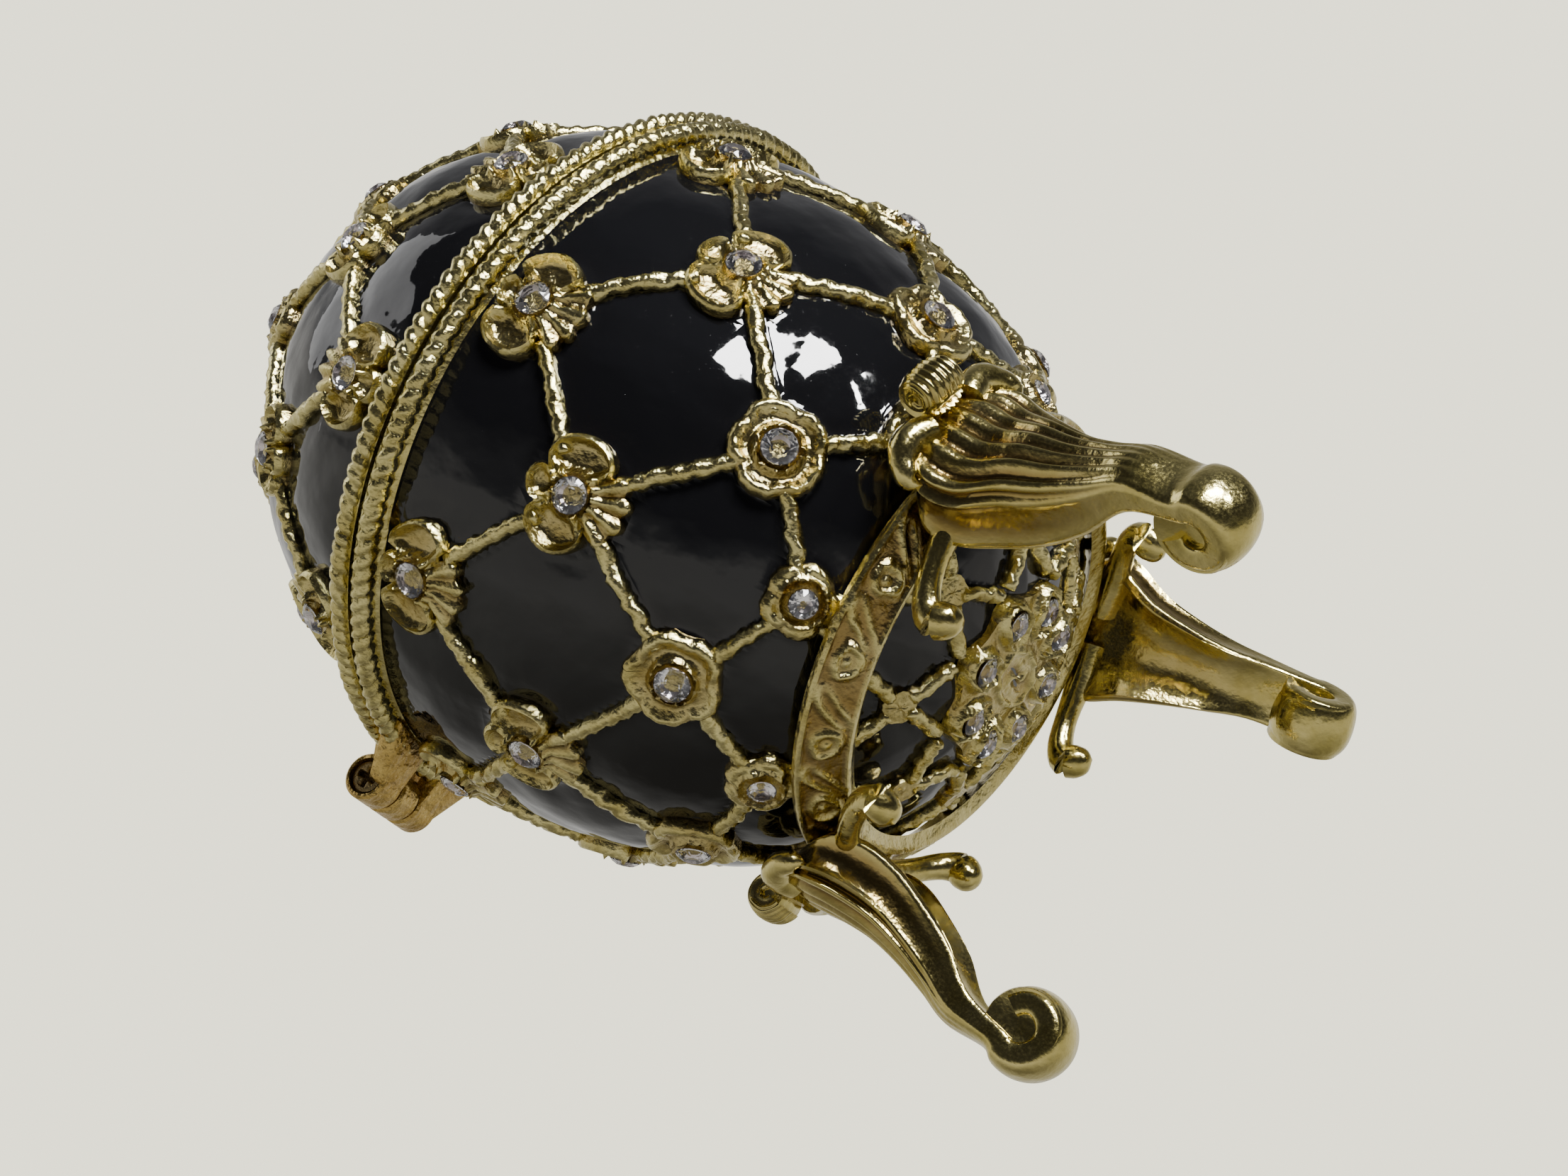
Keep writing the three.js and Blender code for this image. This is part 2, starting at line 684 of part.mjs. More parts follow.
// Front view of a leg: broad shoulders that narrow to the ankle.
function legFront() {
  const shape = new THREE.Shape();
  const outline = [
    [0, 20.4], [2.6, 20.4], [4.9, 18.4], [4.7, 16.4], [3, 12.6], [1.8, 8.6], [1.6, 5], [0, 2],
  ];
  outline.forEach(([y, z], k) => (k === 0 ? shape.moveTo(y, z) : shape.lineTo(y, z)));
  outline.slice(1, -1).reverse().forEach(([y, z]) => shape.lineTo(-y, z));
  return shape;
}

function legStem(curl, foot) {
  const width = 14;
  const profile = legSide(curl, foot);
  const side = new THREE.ExtrudeGeometry(profile, { depth: width, bevelEnabled: false, curveSegments: 5 });
  side.translate(0, 0, -width / 2).rotateX(Math.PI / 2);
  const front = new THREE.ExtrudeGeometry(legFront(), { depth: width, bevelEnabled: false });
  front.rotateX(Math.PI / 2).rotateZ(Math.PI / 2).translate(9.5, 0, 0);
  return solid(side).intersect(solid(front));
}

// A side scroll: a rounded strip that leaves the shoulder, runs under the ring and ends in a curl.
function sideScroll(side) {
  const end = side * SIDE_SCROLL_TURN;
  const at = (turn, r, z) => new THREE.Vector3(r * Math.cos(turn), r * Math.sin(turn), z);
  const path = new THREE.CatmullRomCurve3([
    at(end * 0.22, 13.6, 16.2),
    at(end * 0.6, 13.3, 15.7),
    at(end * 0.92, 12.9, 14.9),
  ]);
  const section = new THREE.Shape();
  for (let k = 0; k < 6; k++) {
    const turn = k * Math.PI / 3;
    section[k === 0 ? 'moveTo' : 'lineTo'](0.8 * Math.cos(turn), 0.8 * Math.sin(turn));
  }
  const strip = new THREE.ExtrudeGeometry(section, { steps: 3, bevelEnabled: false, extrudePath: path });
  const curl = roll(SIDE_SCROLL_RADIUS, 1.7, 8, Math.PI / 8).rotateZ(Math.PI / 2);
  curl.translate(12.9, 0, 13.9).rotateZ(end);
  return solid(strip).add(solid(curl));
}

// A leg along +X: stem, foot scroll with a flat facet down, rolled tip and side scrolls.
function leg(reach) {
  const facetTurn = Math.PI / FOOT_SIDES;
  const footCentre = FOOT_CENTRE + reach;
  const curlCentre = CURL_CENTRE.r + 0.5 * reach;
  const foot = roll(FOOT_RADIUS, FOOT_WIDTH, FOOT_SIDES, facetTurn);
  foot.translate(footCentre, 0, FOOT_RADIUS * Math.cos(facetTurn));
  const curl = roll(CURL_RADIUS, CURL_WIDTH, 10, 0).translate(curlCentre, 0, CURL_CENTRE.z);
  const stem = legStem(curlCentre, footCentre);
  return joined([stem, solid(foot), solid(curl), sideScroll(-1), sideScroll(1)]);
}

function stand() {
  const legs = LEGS.map(({ azimuth, reach }) => leg(reach).rotate([0, 0, azimuth]));
  return joined([solid(standRing()), ...legs]);
}

// ---- scene ----

const gilt = new THREE.MeshStandardMaterial({ color: 0xb59a4a, roughness: 0.25, metalness: 1 });
const enamelled = new THREE.MeshStandardMaterial({ color: 0x0a0a0c, roughness: 0.08, metalness: 0 });
const screwBrass = new THREE.MeshStandardMaterial({ color: 0x8f7836, roughness: 0.4, metalness: 1 });
const crystal = new THREE.MeshStandardMaterial({ color: 0xe8e6ee, roughness: 0.02, metalness: 0 });

const box = new THREE.Group();

function addCasting(name, manifold, material) {
  const mesh = new THREE.Mesh(geometryOf(manifold), material);
  mesh.name = name;
  box.add(mesh);
}

addCasting('egg_body', eggBody(), enamelled);
addCasting('egg_lid', eggLid(), enamelled);
addCasting('hinge_screw', hingeScrew(), screwBrass);
addCasting('stand', stand(), gilt);

const stones = [...rowStones(BODY, BODY_ROWS, 0, crystal), ...rowStones(LID, LID_ROWS, 2, crystal)];
const medallionStone = stoneGeometry(MEDALLION_STONE);
medallionPlaces().forEach((place, i) => {
  place.multiply(new THREE.Matrix4().makeTranslation(0, 0, 0.02));
  stones.push(stone(`stone_medallion_${i + 1}`, medallionStone, place, crystal));
});
box.add(...stones);

// The origin lies on the ground under the middle of the whole box, hinge included.
const bounds = new THREE.Box3().setFromObject(box, true);
const middle = bounds.getCenter(new THREE.Vector3());
box.position.set(-middle.x, -middle.y, -bounds.min.z);

export default box;
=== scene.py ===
# Jewelled egg trinket box. The egg is two zinc castings with a gilt net standing out of black enamel,
# joined by a screwed hinge and held in the ring of a gilt stand with three scroll legs.
# Lengths are in millimetres until a piece is finished, then in metres.

import json
import math

import bmesh
import bpy
import numpy as np
from mathutils import Euler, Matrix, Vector, noise


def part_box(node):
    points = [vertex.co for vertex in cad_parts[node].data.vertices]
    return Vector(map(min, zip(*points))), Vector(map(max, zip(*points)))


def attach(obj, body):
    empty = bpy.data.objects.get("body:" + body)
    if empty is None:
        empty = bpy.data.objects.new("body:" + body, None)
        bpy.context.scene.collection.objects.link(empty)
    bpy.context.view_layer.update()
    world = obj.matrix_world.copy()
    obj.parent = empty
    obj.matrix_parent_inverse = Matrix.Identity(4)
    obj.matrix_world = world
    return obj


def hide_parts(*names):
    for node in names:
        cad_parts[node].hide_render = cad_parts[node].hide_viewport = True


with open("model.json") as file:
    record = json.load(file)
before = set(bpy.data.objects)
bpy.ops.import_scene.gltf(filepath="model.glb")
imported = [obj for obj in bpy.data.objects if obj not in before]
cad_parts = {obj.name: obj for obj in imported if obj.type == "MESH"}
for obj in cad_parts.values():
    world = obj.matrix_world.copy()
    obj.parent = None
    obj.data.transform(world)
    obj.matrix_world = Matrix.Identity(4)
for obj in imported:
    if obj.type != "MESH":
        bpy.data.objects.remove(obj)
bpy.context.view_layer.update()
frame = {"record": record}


# ---- camera, floor and light ----
# The camera looks up at the stand and the underside. The floor under the feet is pale paper that shows
# from above only, so that it never stands between the camera and the box.

camera_data = bpy.data.cameras.new("camera")
camera_data.lens = 56.78
camera_data.sensor_width = 36
camera_data.clip_start = 0.005
camera = bpy.data.objects.new("camera", camera_data)
bpy.context.collection.objects.link(camera)
camera.location = (-0.12636, 0.02552, -0.04256)
camera.rotation_euler = Euler([math.radians(a) for a in (140.088, 50.224, -58.773)])
bpy.context.scene.camera = camera

PAPER_GLOW = (2.1, 2.02, 1.58)                    # what the camera sees behind the box
PAPER_COLOUR = (0.80, 0.785, 0.74)
TABLE_UP = Vector((-0.583, -0.802, 0.132))        # away from the table that the metal reflects
AWAY = Vector((0.854, -0.171, 0.491))             # towards the pale wall behind the box
WALL_BRIGHTNESS = 0.34
BOX_MIDDLE = Vector((0, 0, 0.035))
ROOM = [
    (0.00, (0.16, 0.15, 0.13)), (0.20, (0.40, 0.39, 0.355)), (0.40, (0.66, 0.64, 0.59)),
    (0.50, (0.62, 0.60, 0.56)), (0.56, (0.20, 0.20, 0.20)), (0.68, (0.045, 0.045, 0.05)),
    (0.84, (0.03, 0.03, 0.035)), (1.00, (0.10, 0.105, 0.12)),
]


def new_nodes(tree):
    tree.nodes.clear()
    return tree.nodes, tree.links


def new_material(name):
    material = bpy.data.materials.new(name)
    material.use_nodes = True
    return (material, *new_nodes(material.node_tree))


def to_output(nodes, links, shader, kind="ShaderNodeOutputMaterial"):
    out = nodes.new(kind)
    links.new(shader.outputs[0], out.inputs[0])


def math_node(nodes, links, operation, first, second, clamp=False):
    node = nodes.new("ShaderNodeMath")
    node.operation = operation
    node.use_clamp = clamp
    for socket, value in zip(node.inputs, (first, second)):
        if isinstance(value, (int, float)):
            socket.default_value = value
        else:
            links.new(value, socket)
    return node.outputs[0]


def colour_mix(nodes, links, share, first, second):
    """Goes from one colour to another. Each is three numbers or a socket."""
    node = nodes.new("ShaderNodeMix")
    node.data_type = "RGBA"
    links.new(share, node.inputs[0])
    for socket, colour in zip(node.inputs[6:8], (first, second)):
        if isinstance(colour, tuple):
            socket.default_value = (*colour, 1)
        else:
            links.new(colour, socket)
    return node.outputs[2]


def studio_world():
    """Reflections from the bright table below to the dark room above. The camera sees only paper."""
    world = bpy.data.worlds.new("studio")
    bpy.context.scene.world = world
    world.use_nodes = True
    nodes, links = new_nodes(world.node_tree)
    coords = nodes.new("ShaderNodeTexCoord")

    def along(direction):
        node = nodes.new("ShaderNodeVectorMath")
        node.operation = "DOT_PRODUCT"
        links.new(coords.outputs["Generated"], node.inputs[0])
        node.inputs[1].default_value = direction
        return node.outputs["Value"]

    height = nodes.new("ShaderNodeMapRange")
    height.inputs["From Min"].default_value = -1
    links.new(along(TABLE_UP), height.inputs["Value"])
    room = nodes.new("ShaderNodeValToRGB")
    for k, (place, colour) in enumerate(ROOM):
        stop = room.color_ramp.elements[k] if k < 2 else room.color_ramp.elements.new(place)
        stop.position = place
        stop.color = (*colour, 1)
    links.new(height.outputs[0], room.inputs[0])
    wall = nodes.new("ShaderNodeMapRange")
    wall.inputs["From Min"].default_value = 0.15
    wall.inputs["From Max"].default_value = 0.85
    wall.inputs["To Max"].default_value = WALL_BRIGHTNESS
    links.new(along(AWAY), wall.inputs["Value"])
    lit = nodes.new("ShaderNodeMix")
    lit.data_type = "RGBA"
    lit.blend_type = "ADD"
    lit.inputs[0].default_value = 1
    links.new(room.outputs[0], lit.inputs[6])
    links.new(wall.outputs[0], lit.inputs[7])
    seen = nodes.new("ShaderNodeLightPath")
    around = nodes.new("ShaderNodeBackground")
    links.new(lit.outputs[2], around.inputs[0])
    paper = nodes.new("ShaderNodeBackground")
    paper.inputs[0].default_value = (*PAPER_GLOW, 1)
    mix = nodes.new("ShaderNodeMixShader")
    links.new(seen.outputs["Is Camera Ray"], mix.inputs[0])
    links.new(around.outputs[0], mix.inputs[1])
    links.new(paper.outputs[0], mix.inputs[2])
    to_output(nodes, links, mix, "ShaderNodeOutputWorld")


def paper_floor():
    bpy.ops.mesh.primitive_plane_add(size=3)
    floor = bpy.context.object
    floor.name = "paper_floor"
    material, nodes, links = new_material("pale_paper")
    path = nodes.new("ShaderNodeLightPath")
    side = nodes.new("ShaderNodeNewGeometry")
    front = math_node(nodes, links, "SUBTRACT", 1.0, side.outputs["Backfacing"])
    shown = math_node(nodes, links, "MULTIPLY", front, path.outputs["Is Camera Ray"])
    paper = nodes.new("ShaderNodeBsdfDiffuse")
    paper.inputs[0].default_value = (*PAPER_COLOUR, 1)
    clear = nodes.new("ShaderNodeBsdfTransparent")
    mix = nodes.new("ShaderNodeMixShader")
    links.new(shown, mix.inputs[0])
    links.new(clear.outputs[0], mix.inputs[1])
    links.new(paper.outputs[0], mix.inputs[2])
    to_output(nodes, links, mix)
    floor.data.materials.append(material)


def soft_light(name, direction, distance, size, power):
    data = bpy.data.lights.new(name, "AREA")
    data.shape = "RECTANGLE"
    data.size, data.size_y = size
    data.energy = power
    light = bpy.data.objects.new(name, data)
    light.location = BOX_MIDDLE + Vector(direction).normalized() * distance
    light.rotation_euler = (BOX_MIDDLE - light.location).to_track_quat("-Z", "Y").to_euler()
    bpy.context.collection.objects.link(light)


studio_world()
paper_floor()
soft_light("window", (-0.65, -0.755, -0.09), 0.6, (0.24, 0.15), 9)
soft_light("lamp", (-0.424, -0.792, -0.44), 0.6, (0.05, 0.10), 2)
soft_light("room_top", (-0.2, -0.1, 1.0), 0.9, (0.5, 0.5), 1.2)


# ---- enamelled shells ----
# Body and lid are thin zinc castings. Black enamel is filled by hand into the cells of the net, a little
# proud in the middle of each cell. The inside is plated, not enamelled.

rim_low, rim_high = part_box("egg_lid")
AXIS_Y = rim_low.y + (rim_high.x - rim_low.x) / 2
PIN = frame["record"]["behaviour"]["joints"][0]["pos_m"]
SEAM = PIN[2] * 1000
WALL = 1.5
LIP_GAP = 0.16                  # from the seam to the flat edge of either casting
IN_A_ROW = 8                    # flowers round the egg
ROPE_COVER, FLOWER_COVER, RIM_COVER = 0.42, 0.93, 1.45
INNER_LEVEL = 0.97              # share of the egg's outline inside which a point is on the inner wall
ENAMEL_RISE, ENAMEL_SPREAD, ENAMEL_SINK = 0.42, 1.9, 0.1
BODY = {"radius": 21.4, "height": -30.5, "power": 2.3, "first": 0, "name": "body", "rides": "base"}
LID = {"radius": 20.6, "height": 24.0, "power": 1.85, "first": 2, "name": "lid", "rides": "lid"}
# Each row of crossings: its height and the radius of its flowers.
BODY["rows"] = [(40.6, 3.4), (32.8, 3.4), (25.0, 2.9), (20.8, 2.2), (16.3, 1.1), (15.2, 0.6)]
LID["rows"] = [(50.2, 3.2), (57.0, 2.9), (63.0, 2.3), (67.0, 1.0), (68.35, 0.6)]
NET_TURN = math.radians(3.75)
COLUMN = math.radians(11.25)


def angle_at(half, z):
    """The outline's angle parameter at a height."""
    return math.asin(min(1, abs((z - SEAM) / half["height"])) ** (half["power"] / 2))


def egg_point(half, azimuth, angle):
    """A point of the egg: each half is a superellipse turned round the axis."""
    r = half["radius"] * abs(math.cos(angle)) ** (2 / half["power"])
    z = SEAM + half["height"] * abs(math.sin(angle)) ** (2 / half["power"])
    return Vector((r * math.cos(azimuth), r * math.sin(azimuth), z))


def pressed_on(half, point):
    """The point moved along its ray from the seam's centre until it lies on the egg."""
    offset = Vector(point) - Vector((0, 0, SEAM))
    across = (math.hypot(offset.x, offset.y) / half["radius"]) ** half["power"]
    up = abs(offset.z / half["height"]) ** half["power"]
    return Vector((0, 0, SEAM)) + offset * (across + up) ** (-1 / half["power"])


def outward(half, point):
    """The egg's normal near a point."""
    offset = Vector(point) - Vector((0, 0, SEAM))
    r = max(math.hypot(offset.x, offset.y), 1e-6)
    flank = (r / half["radius"]) ** (half["power"] - 1) / half["radius"]
    rise = abs(offset.z / half["height"]) ** (half["power"] - 1) / half["height"]
    return Vector((flank * offset.x / r, flank * offset.y / r, rise)).normalized()


def crossing(half, row, column):
    """Place of a crossing on the egg. Every second row is half a flower further round."""
    azimuth = NET_TURN + COLUMN * (half["first"] + 2 * row + 4 * column)
    return egg_point(half, azimuth, angle_at(half, half["rows"][row][0]))


def net_lines(half):
    """The ropes' ends on the egg, with the radius that the flower at each end covers."""
    lines = []
    for row in range(len(half["rows"]) - 1):
        for column in range(IN_A_ROW):
            for side in (0, 1):
                lines.append((crossing(half, row, column), crossing(half, row + 1, column - side),
                              half["rows"][row][1], half["rows"][row + 1][1]))
    return lines


def distance_to_gilt(half, points):
    """How far each point of the enamel is from the nearest rope or flower."""
    nearest = np.full(len(points), 1e3)
    for start, end, _, _ in net_lines(half):
        middle = pressed_on(half, (start + end) / 2)
        for a, b in ((start, middle), (middle, end)):
            a, span = np.array(a), np.array(b - a)
            share = np.clip((points - a) @ span / (span @ span), 0, 1)
            away = np.linalg.norm(points - a - share[:, None] * span, axis=1)
            nearest = np.minimum(nearest, away - ROPE_COVER)
    for row, (_, radius) in enumerate(half["rows"]):
        for column in range(IN_A_ROW):
            away = np.linalg.norm(points - np.array(crossing(half, row, column)), axis=1)
            nearest = np.minimum(nearest, away - radius * FLOWER_COVER)
    rim = np.abs(points[:, 2] - SEAM) - RIM_COVER
    return np.maximum(np.minimum(nearest, rim), 0)


def finished(bm, name, body, materials, sharp=None):
    """Turns a bmesh in millimetres round the egg's axis into a piece in metres in the frame."""
    bmesh.ops.remove_doubles(bm, verts=bm.verts, dist=1e-4)
    bmesh.ops.recalc_face_normals(bm, faces=bm.faces)
    for face in bm.faces:
        face.smooth = True
    if sharp is not None:
        for edge in bm.edges:
            if len(edge.link_faces) == 2 and edge.calc_face_angle(0) > math.radians(sharp):
                edge.smooth = False
    bmesh.ops.scale(bm, vec=(0.001, 0.001, 0.001), verts=bm.verts)
    bmesh.ops.translate(bm, vec=(0, AXIS_Y, 0), verts=bm.verts)
    mesh = bpy.data.meshes.new(name)
    bm.to_mesh(mesh)
    bm.free()
    piece = bpy.data.objects.new(name, mesh)
    bpy.context.collection.objects.link(piece)
    for material in materials:
        mesh.materials.append(material)
    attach(piece, body)
    return piece


def spun(bm, profile, steps):
    """Spins [radius, z] pairs round the axis into a skin."""
    corners = [bm.verts.new((r, 0, z)) for r, z in profile]
    edges = [bm.edges.new(pair) for pair in zip(corners, corners[1:])]
    bmesh.ops.spin(bm, geom=corners + edges, cent=(0, 0, 0), axis=(0, 0, 1), angle=2 * math.pi,
                   steps=steps, use_merge=True)
    bmesh.ops.remove_doubles(bm, verts=bm.verts, dist=1e-4)


def noise_texture(nodes, links, vector, scale, detail=2.0, roughness=0.5):
    node = nodes.new("ShaderNodeTexNoise")
    node.inputs["Scale"].default_value = scale
    node.inputs["Detail"].default_value = detail
    node.inputs["Roughness"].default_value = roughness
    links.new(vector, node.inputs["Vector"])
    return node.outputs["Fac"]


def remapped(nodes, links, value, low, high, to_low, to_high):
    node = nodes.new("ShaderNodeMapRange")
    for socket, number in zip(node.inputs[1:5], (low, high, to_low, to_high)):
        socket.default_value = number
    links.new(value, node.inputs[0])
    return node.outputs[0]


def black_enamel():
    material, nodes, links = new_material("black_enamel")
    place = nodes.new("ShaderNodeTexCoord").outputs["Object"]
    gap = nodes.new("ShaderNodeAttribute")
    gap.attribute_name = "gap"
    creep = math_node(nodes, links, "POWER", 0.04, gap.outputs["Fac"])
    wave = noise_texture(nodes, links, place, 260, 2)
    orange_peel = noise_texture(nodes, links, place, 1500, 1)
    hair = noise_texture(nodes, links, place, 5200, 4, 0.7)
    speck = remapped(nodes, links, hair, 0.70, 0.78, 0, 1)
    relief = math_node(nodes, links, "MULTIPLY", creep, 0.18)
    for value, height in ((wave, 0.16), (orange_peel, 0.010), (speck, 0.004)):
        raised = math_node(nodes, links, "MULTIPLY", value, height)
        relief = math_node(nodes, links, "ADD", relief, raised)
    bump = nodes.new("ShaderNodeBump")
    bump.inputs["Distance"].default_value = 0.001
    links.new(relief, bump.inputs["Height"])
    dust = math_node(nodes, links, "MULTIPLY", speck, 0.5)
    colour = colour_mix(nodes, links, dust, (0.0035, 0.0035, 0.004), (0.03, 0.03, 0.032))
    shader = nodes.new("ShaderNodeBsdfPrincipled")
    links.new(colour, shader.inputs["Base Color"])
    links.new(remapped(nodes, links, hair, 0.35, 0.8, 0.025, 0.075), shader.inputs["Roughness"])
    shader.inputs["IOR"].default_value = 1.55
    links.new(bump.outputs[0], shader.inputs["Normal"])
    to_output(nodes, links, shader)
    return material


enamel = black_enamel()


def outline(half, steps):
    """[radius, z] pairs from the seam to the pole, which lies on the axis."""
    points = [egg_point(half, 0, math.pi / 2 * k / steps) for k in range(steps + 1)]
    return [(p.x, p.z) for p in points[:-1]] + [(0, points[-1].z)]


def enamelled_shell(half, plating):
    sign = math.copysign(1, half["height"])
    thin = {**half, "radius": half["radius"] - WALL, "height": half["height"] - sign * WALL}
    lip = SEAM + sign * LIP_GAP
    profile = outline(half, 90)[:0:-1] + [(half["radius"], lip), (thin["radius"], lip)]
    profile += outline(thin, 24)[1:]
    bm = bmesh.new()
    spun(bm, profile, 288)
    bm.verts.ensure_lookup_table()
    points = np.array([v.co[:] for v in bm.verts])
    level = ((np.hypot(points[:, 0], points[:, 1]) / half["radius"]) ** half["power"]
             + np.abs((points[:, 2] - SEAM) / half["height"]) ** half["power"])
    gap = distance_to_gilt(half, points)
    layer = bm.verts.layers.float.new("gap")
    for v, inside, d in zip(list(bm.verts), level < INNER_LEVEL, gap):
        if inside:
            v[layer] = 5
            continue
        v[layer] = d
        uneven = noise.noise(v.co * 0.35) * 0.07 * min(1, d)
        lift = ENAMEL_RISE * (1 - math.exp(-d / ENAMEL_SPREAD)) - ENAMEL_SINK + uneven
        v.co += outward(half, v.co) * lift
    for face in bm.faces:
        c = face.calc_center_median()
        share = (math.hypot(c.x, c.y) / half["radius"]) ** half["power"]
        share += abs((c.z - SEAM) / half["height"]) ** half["power"]
        face.material_index = 1 if share < INNER_LEVEL else 0
    name = half["name"]
    piece = finished(bm, f"enamel_{name}", half["rides"], [enamel, plating])
    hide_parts(f"egg_{name}")


# ---- gilt finishes ----
# Everything that isn't enamel or stone is gilt: a pale, slightly green gold over a cast skin, bright where
# it is rubbed, and painted darker and browner in the hollows: part brown tarnish, part painted shade.

def tone_group():
    """Patchy gilding: colour between two golds, darkened in the piece's own hollows by brown tarnish and
    painted shade.
    """
    group = bpy.data.node_groups.new("gilt_tone", "ShaderNodeTree")
    face = group.interface
    face.new_socket("Place", in_out="INPUT", socket_type="NodeSocketVector")
    face.new_socket("Hollow shade and tarnish", in_out="INPUT", socket_type="NodeSocketFloat")
    for label in ("Pale", "Deep", "Tarnish and shade"):
        face.new_socket(label, in_out="INPUT", socket_type="NodeSocketColor")
    face.new_socket("Colour", in_out="OUTPUT", socket_type="NodeSocketColor")
    nodes, links = new_nodes(group)
    given = nodes.new("NodeGroupInput")
    patch = noise_texture(nodes, links, given.outputs["Place"], 420, 3, 0.6)
    patch = remapped(nodes, links, patch, 0.36, 0.66, 0, 1)
    gold = colour_mix(nodes, links, patch, given.outputs["Pale"], given.outputs["Deep"])
    # Painted shade and brown tarnish: the hollows' mask darkens the gold towards the tarnish colour.
    shade_and_tarnish_share = math_node(nodes, links, "MULTIPLY", given.outputs["Hollow shade and tarnish"], 0.85, True)
    out = nodes.new("NodeGroupOutput")
    links.new(colour_mix(nodes, links, shade_and_tarnish_share, gold, given.outputs["Tarnish and shade"]), out.inputs[0])
    return group


def skin_group():
    """Cast skin: the height of dents and grain, in millimetres, and a mask of where it is rough."""
    group = bpy.data.node_groups.new("cast_skin", "ShaderNodeTree")
    face = group.interface
    face.new_socket("Place", in_out="INPUT", socket_type="NodeSocketVector")
    for label in ("Dents", "Grain"):
        face.new_socket(label, in_out="INPUT", socket_type="NodeSocketFloat")
    face.new_socket("Height", in_out="OUTPUT", socket_type="NodeSocketFloat")
    face.new_socket("Rough", in_out="OUTPUT", socket_type="NodeSocketFloat")
    nodes, links = new_nodes(group)
    given = nodes.new("NodeGroupInput")
    dent = noise_texture(nodes, links, given.outputs["Place"], 1300, 2)
    grain = noise_texture(nodes, links, given.outputs["Place"], 6500, 3, 0.65)
    dent_height = math_node(nodes, links, "MULTIPLY", dent, given.outputs["Dents"])
    grain_height = math_node(nodes, links, "MULTIPLY", grain, given.outputs["Grain"])
    out = nodes.new("NodeGroupOutput")
    links.new(math_node(nodes, links, "ADD", dent_height, grain_height), out.inputs[0])
    links.new(remapped(nodes, links, grain, 0.35, 0.65, 0, 1), out.inputs[1])
    return group


gilt_tone = tone_group()
cast_skin = skin_group()


def gilt(name, pale, deep, tarnish_and_shade_colour, dents, grain, smooth, rough):
    """A gilt metal: three colours, heights of its dents and grain, and its least and most roughness."""
    material, nodes, links = new_material(name)
    place = nodes.new("ShaderNodeTexCoord").outputs["Object"]
    # Per-point mask of painted shade and tarnish in hollows, grooves and low relief.
    hollow_shade_and_tarnish = nodes.new("ShaderNodeAttribute")
    hollow_shade_and_tarnish.attribute_name = "hollow_shade_and_tarnish"
    tone = nodes.new("ShaderNodeGroup")
    tone.node_tree = gilt_tone
    links.new(place, tone.inputs["Place"])
    links.new(hollow_shade_and_tarnish.outputs["Fac"], tone.inputs["Hollow shade and tarnish"])
    for label, colour in (("Pale", pale), ("Deep", deep), ("Tarnish and shade", tarnish_and_shade_colour)):
        tone.inputs[label].default_value = (*colour, 1)
    skin = nodes.new("ShaderNodeGroup")
    skin.node_tree = cast_skin
    links.new(place, skin.inputs["Place"])
    skin.inputs["Dents"].default_value = dents
    skin.inputs["Grain"].default_value = grain
    bump = nodes.new("ShaderNodeBump")
    bump.inputs["Distance"].default_value = 0.001
    links.new(skin.outputs["Height"], bump.inputs["Height"])
    shader = nodes.new("ShaderNodeBsdfPrincipled")
    shader.inputs["Metallic"].default_value = 1
    links.new(tone.outputs["Colour"], shader.inputs["Base Color"])
    roughness = remapped(nodes, links, skin.outputs["Rough"], 0, 1, smooth, rough)
    links.new(roughness, shader.inputs["Roughness"])
    links.new(bump.outputs[0], shader.inputs["Normal"])
    to_output(nodes, links, shader)
    return material


# Brown tarnish colours, which also stand for painted shade in the hollows.
BROWN = (0.20, 0.10, 0.03)
DARK_BROWN = (0.14, 0.06, 0.02)
gilt_cast = gilt("gilt_cast", (0.76, 0.68, 0.31), (0.56, 0.475, 0.17), BROWN, 0.16, 0.030, 0.09, 0.24)
gilt_smooth = gilt("gilt_burnished", (0.72, 0.62, 0.25), (0.56, 0.47, 0.15), BROWN, 0.06, 0.010,
                   0.10, 0.22)
gilt_raw = gilt("gilt_unpolished", (0.68, 0.49, 0.16), (0.46, 0.30, 0.08), DARK_BROWN, 0.34, 0.05,
                0.20, 0.42)
plated_inside = gilt("gilt_inside", (0.74, 0.62, 0.33), (0.66, 0.52, 0.25), BROWN, 0.06, 0.02, 0.24, 0.40)

for half in (BODY, LID):
    enamelled_shell(half, plated_inside)


# ---- rims ----
# Each half ends in a flat gilt lip with a cast two-strand rope round it. The two ropes nearly touch when
# the lid is shut and leave a dark seam between them.

ROPE_TWISTS = 76
ROPE_SIZE = 0.74
ROPE_CENTRE = 22.12             # from the axis
ROPE_RISE = 0.86                # from the seam
LIP_RADIUS = 22.3


def mapped_sheet(bm, hollow_shade_and_tarnish, along, across, place):
    """A grid whose points are put where place(u, v) says, u and v from 0 to 1, each with a share of painted
    shade and tarnish.
    """
    made = bmesh.ops.create_grid(bm, x_segments=along, y_segments=across, size=1)
    for v in made["verts"]:
        # The second value is painted shade and tarnish for the point, kept in a vertex layer for the gilt
        # materials.
        v.co, v[hollow_shade_and_tarnish] = place((v.co.x + 1) / 2, (v.co.y + 1) / 2)


def strand_radius(turn, size):
    """Outline of two strands twisted together: round strands with a sharp groove between them."""
    return size * (0.60 + 0.40 * abs(math.cos(turn)) ** 0.8)


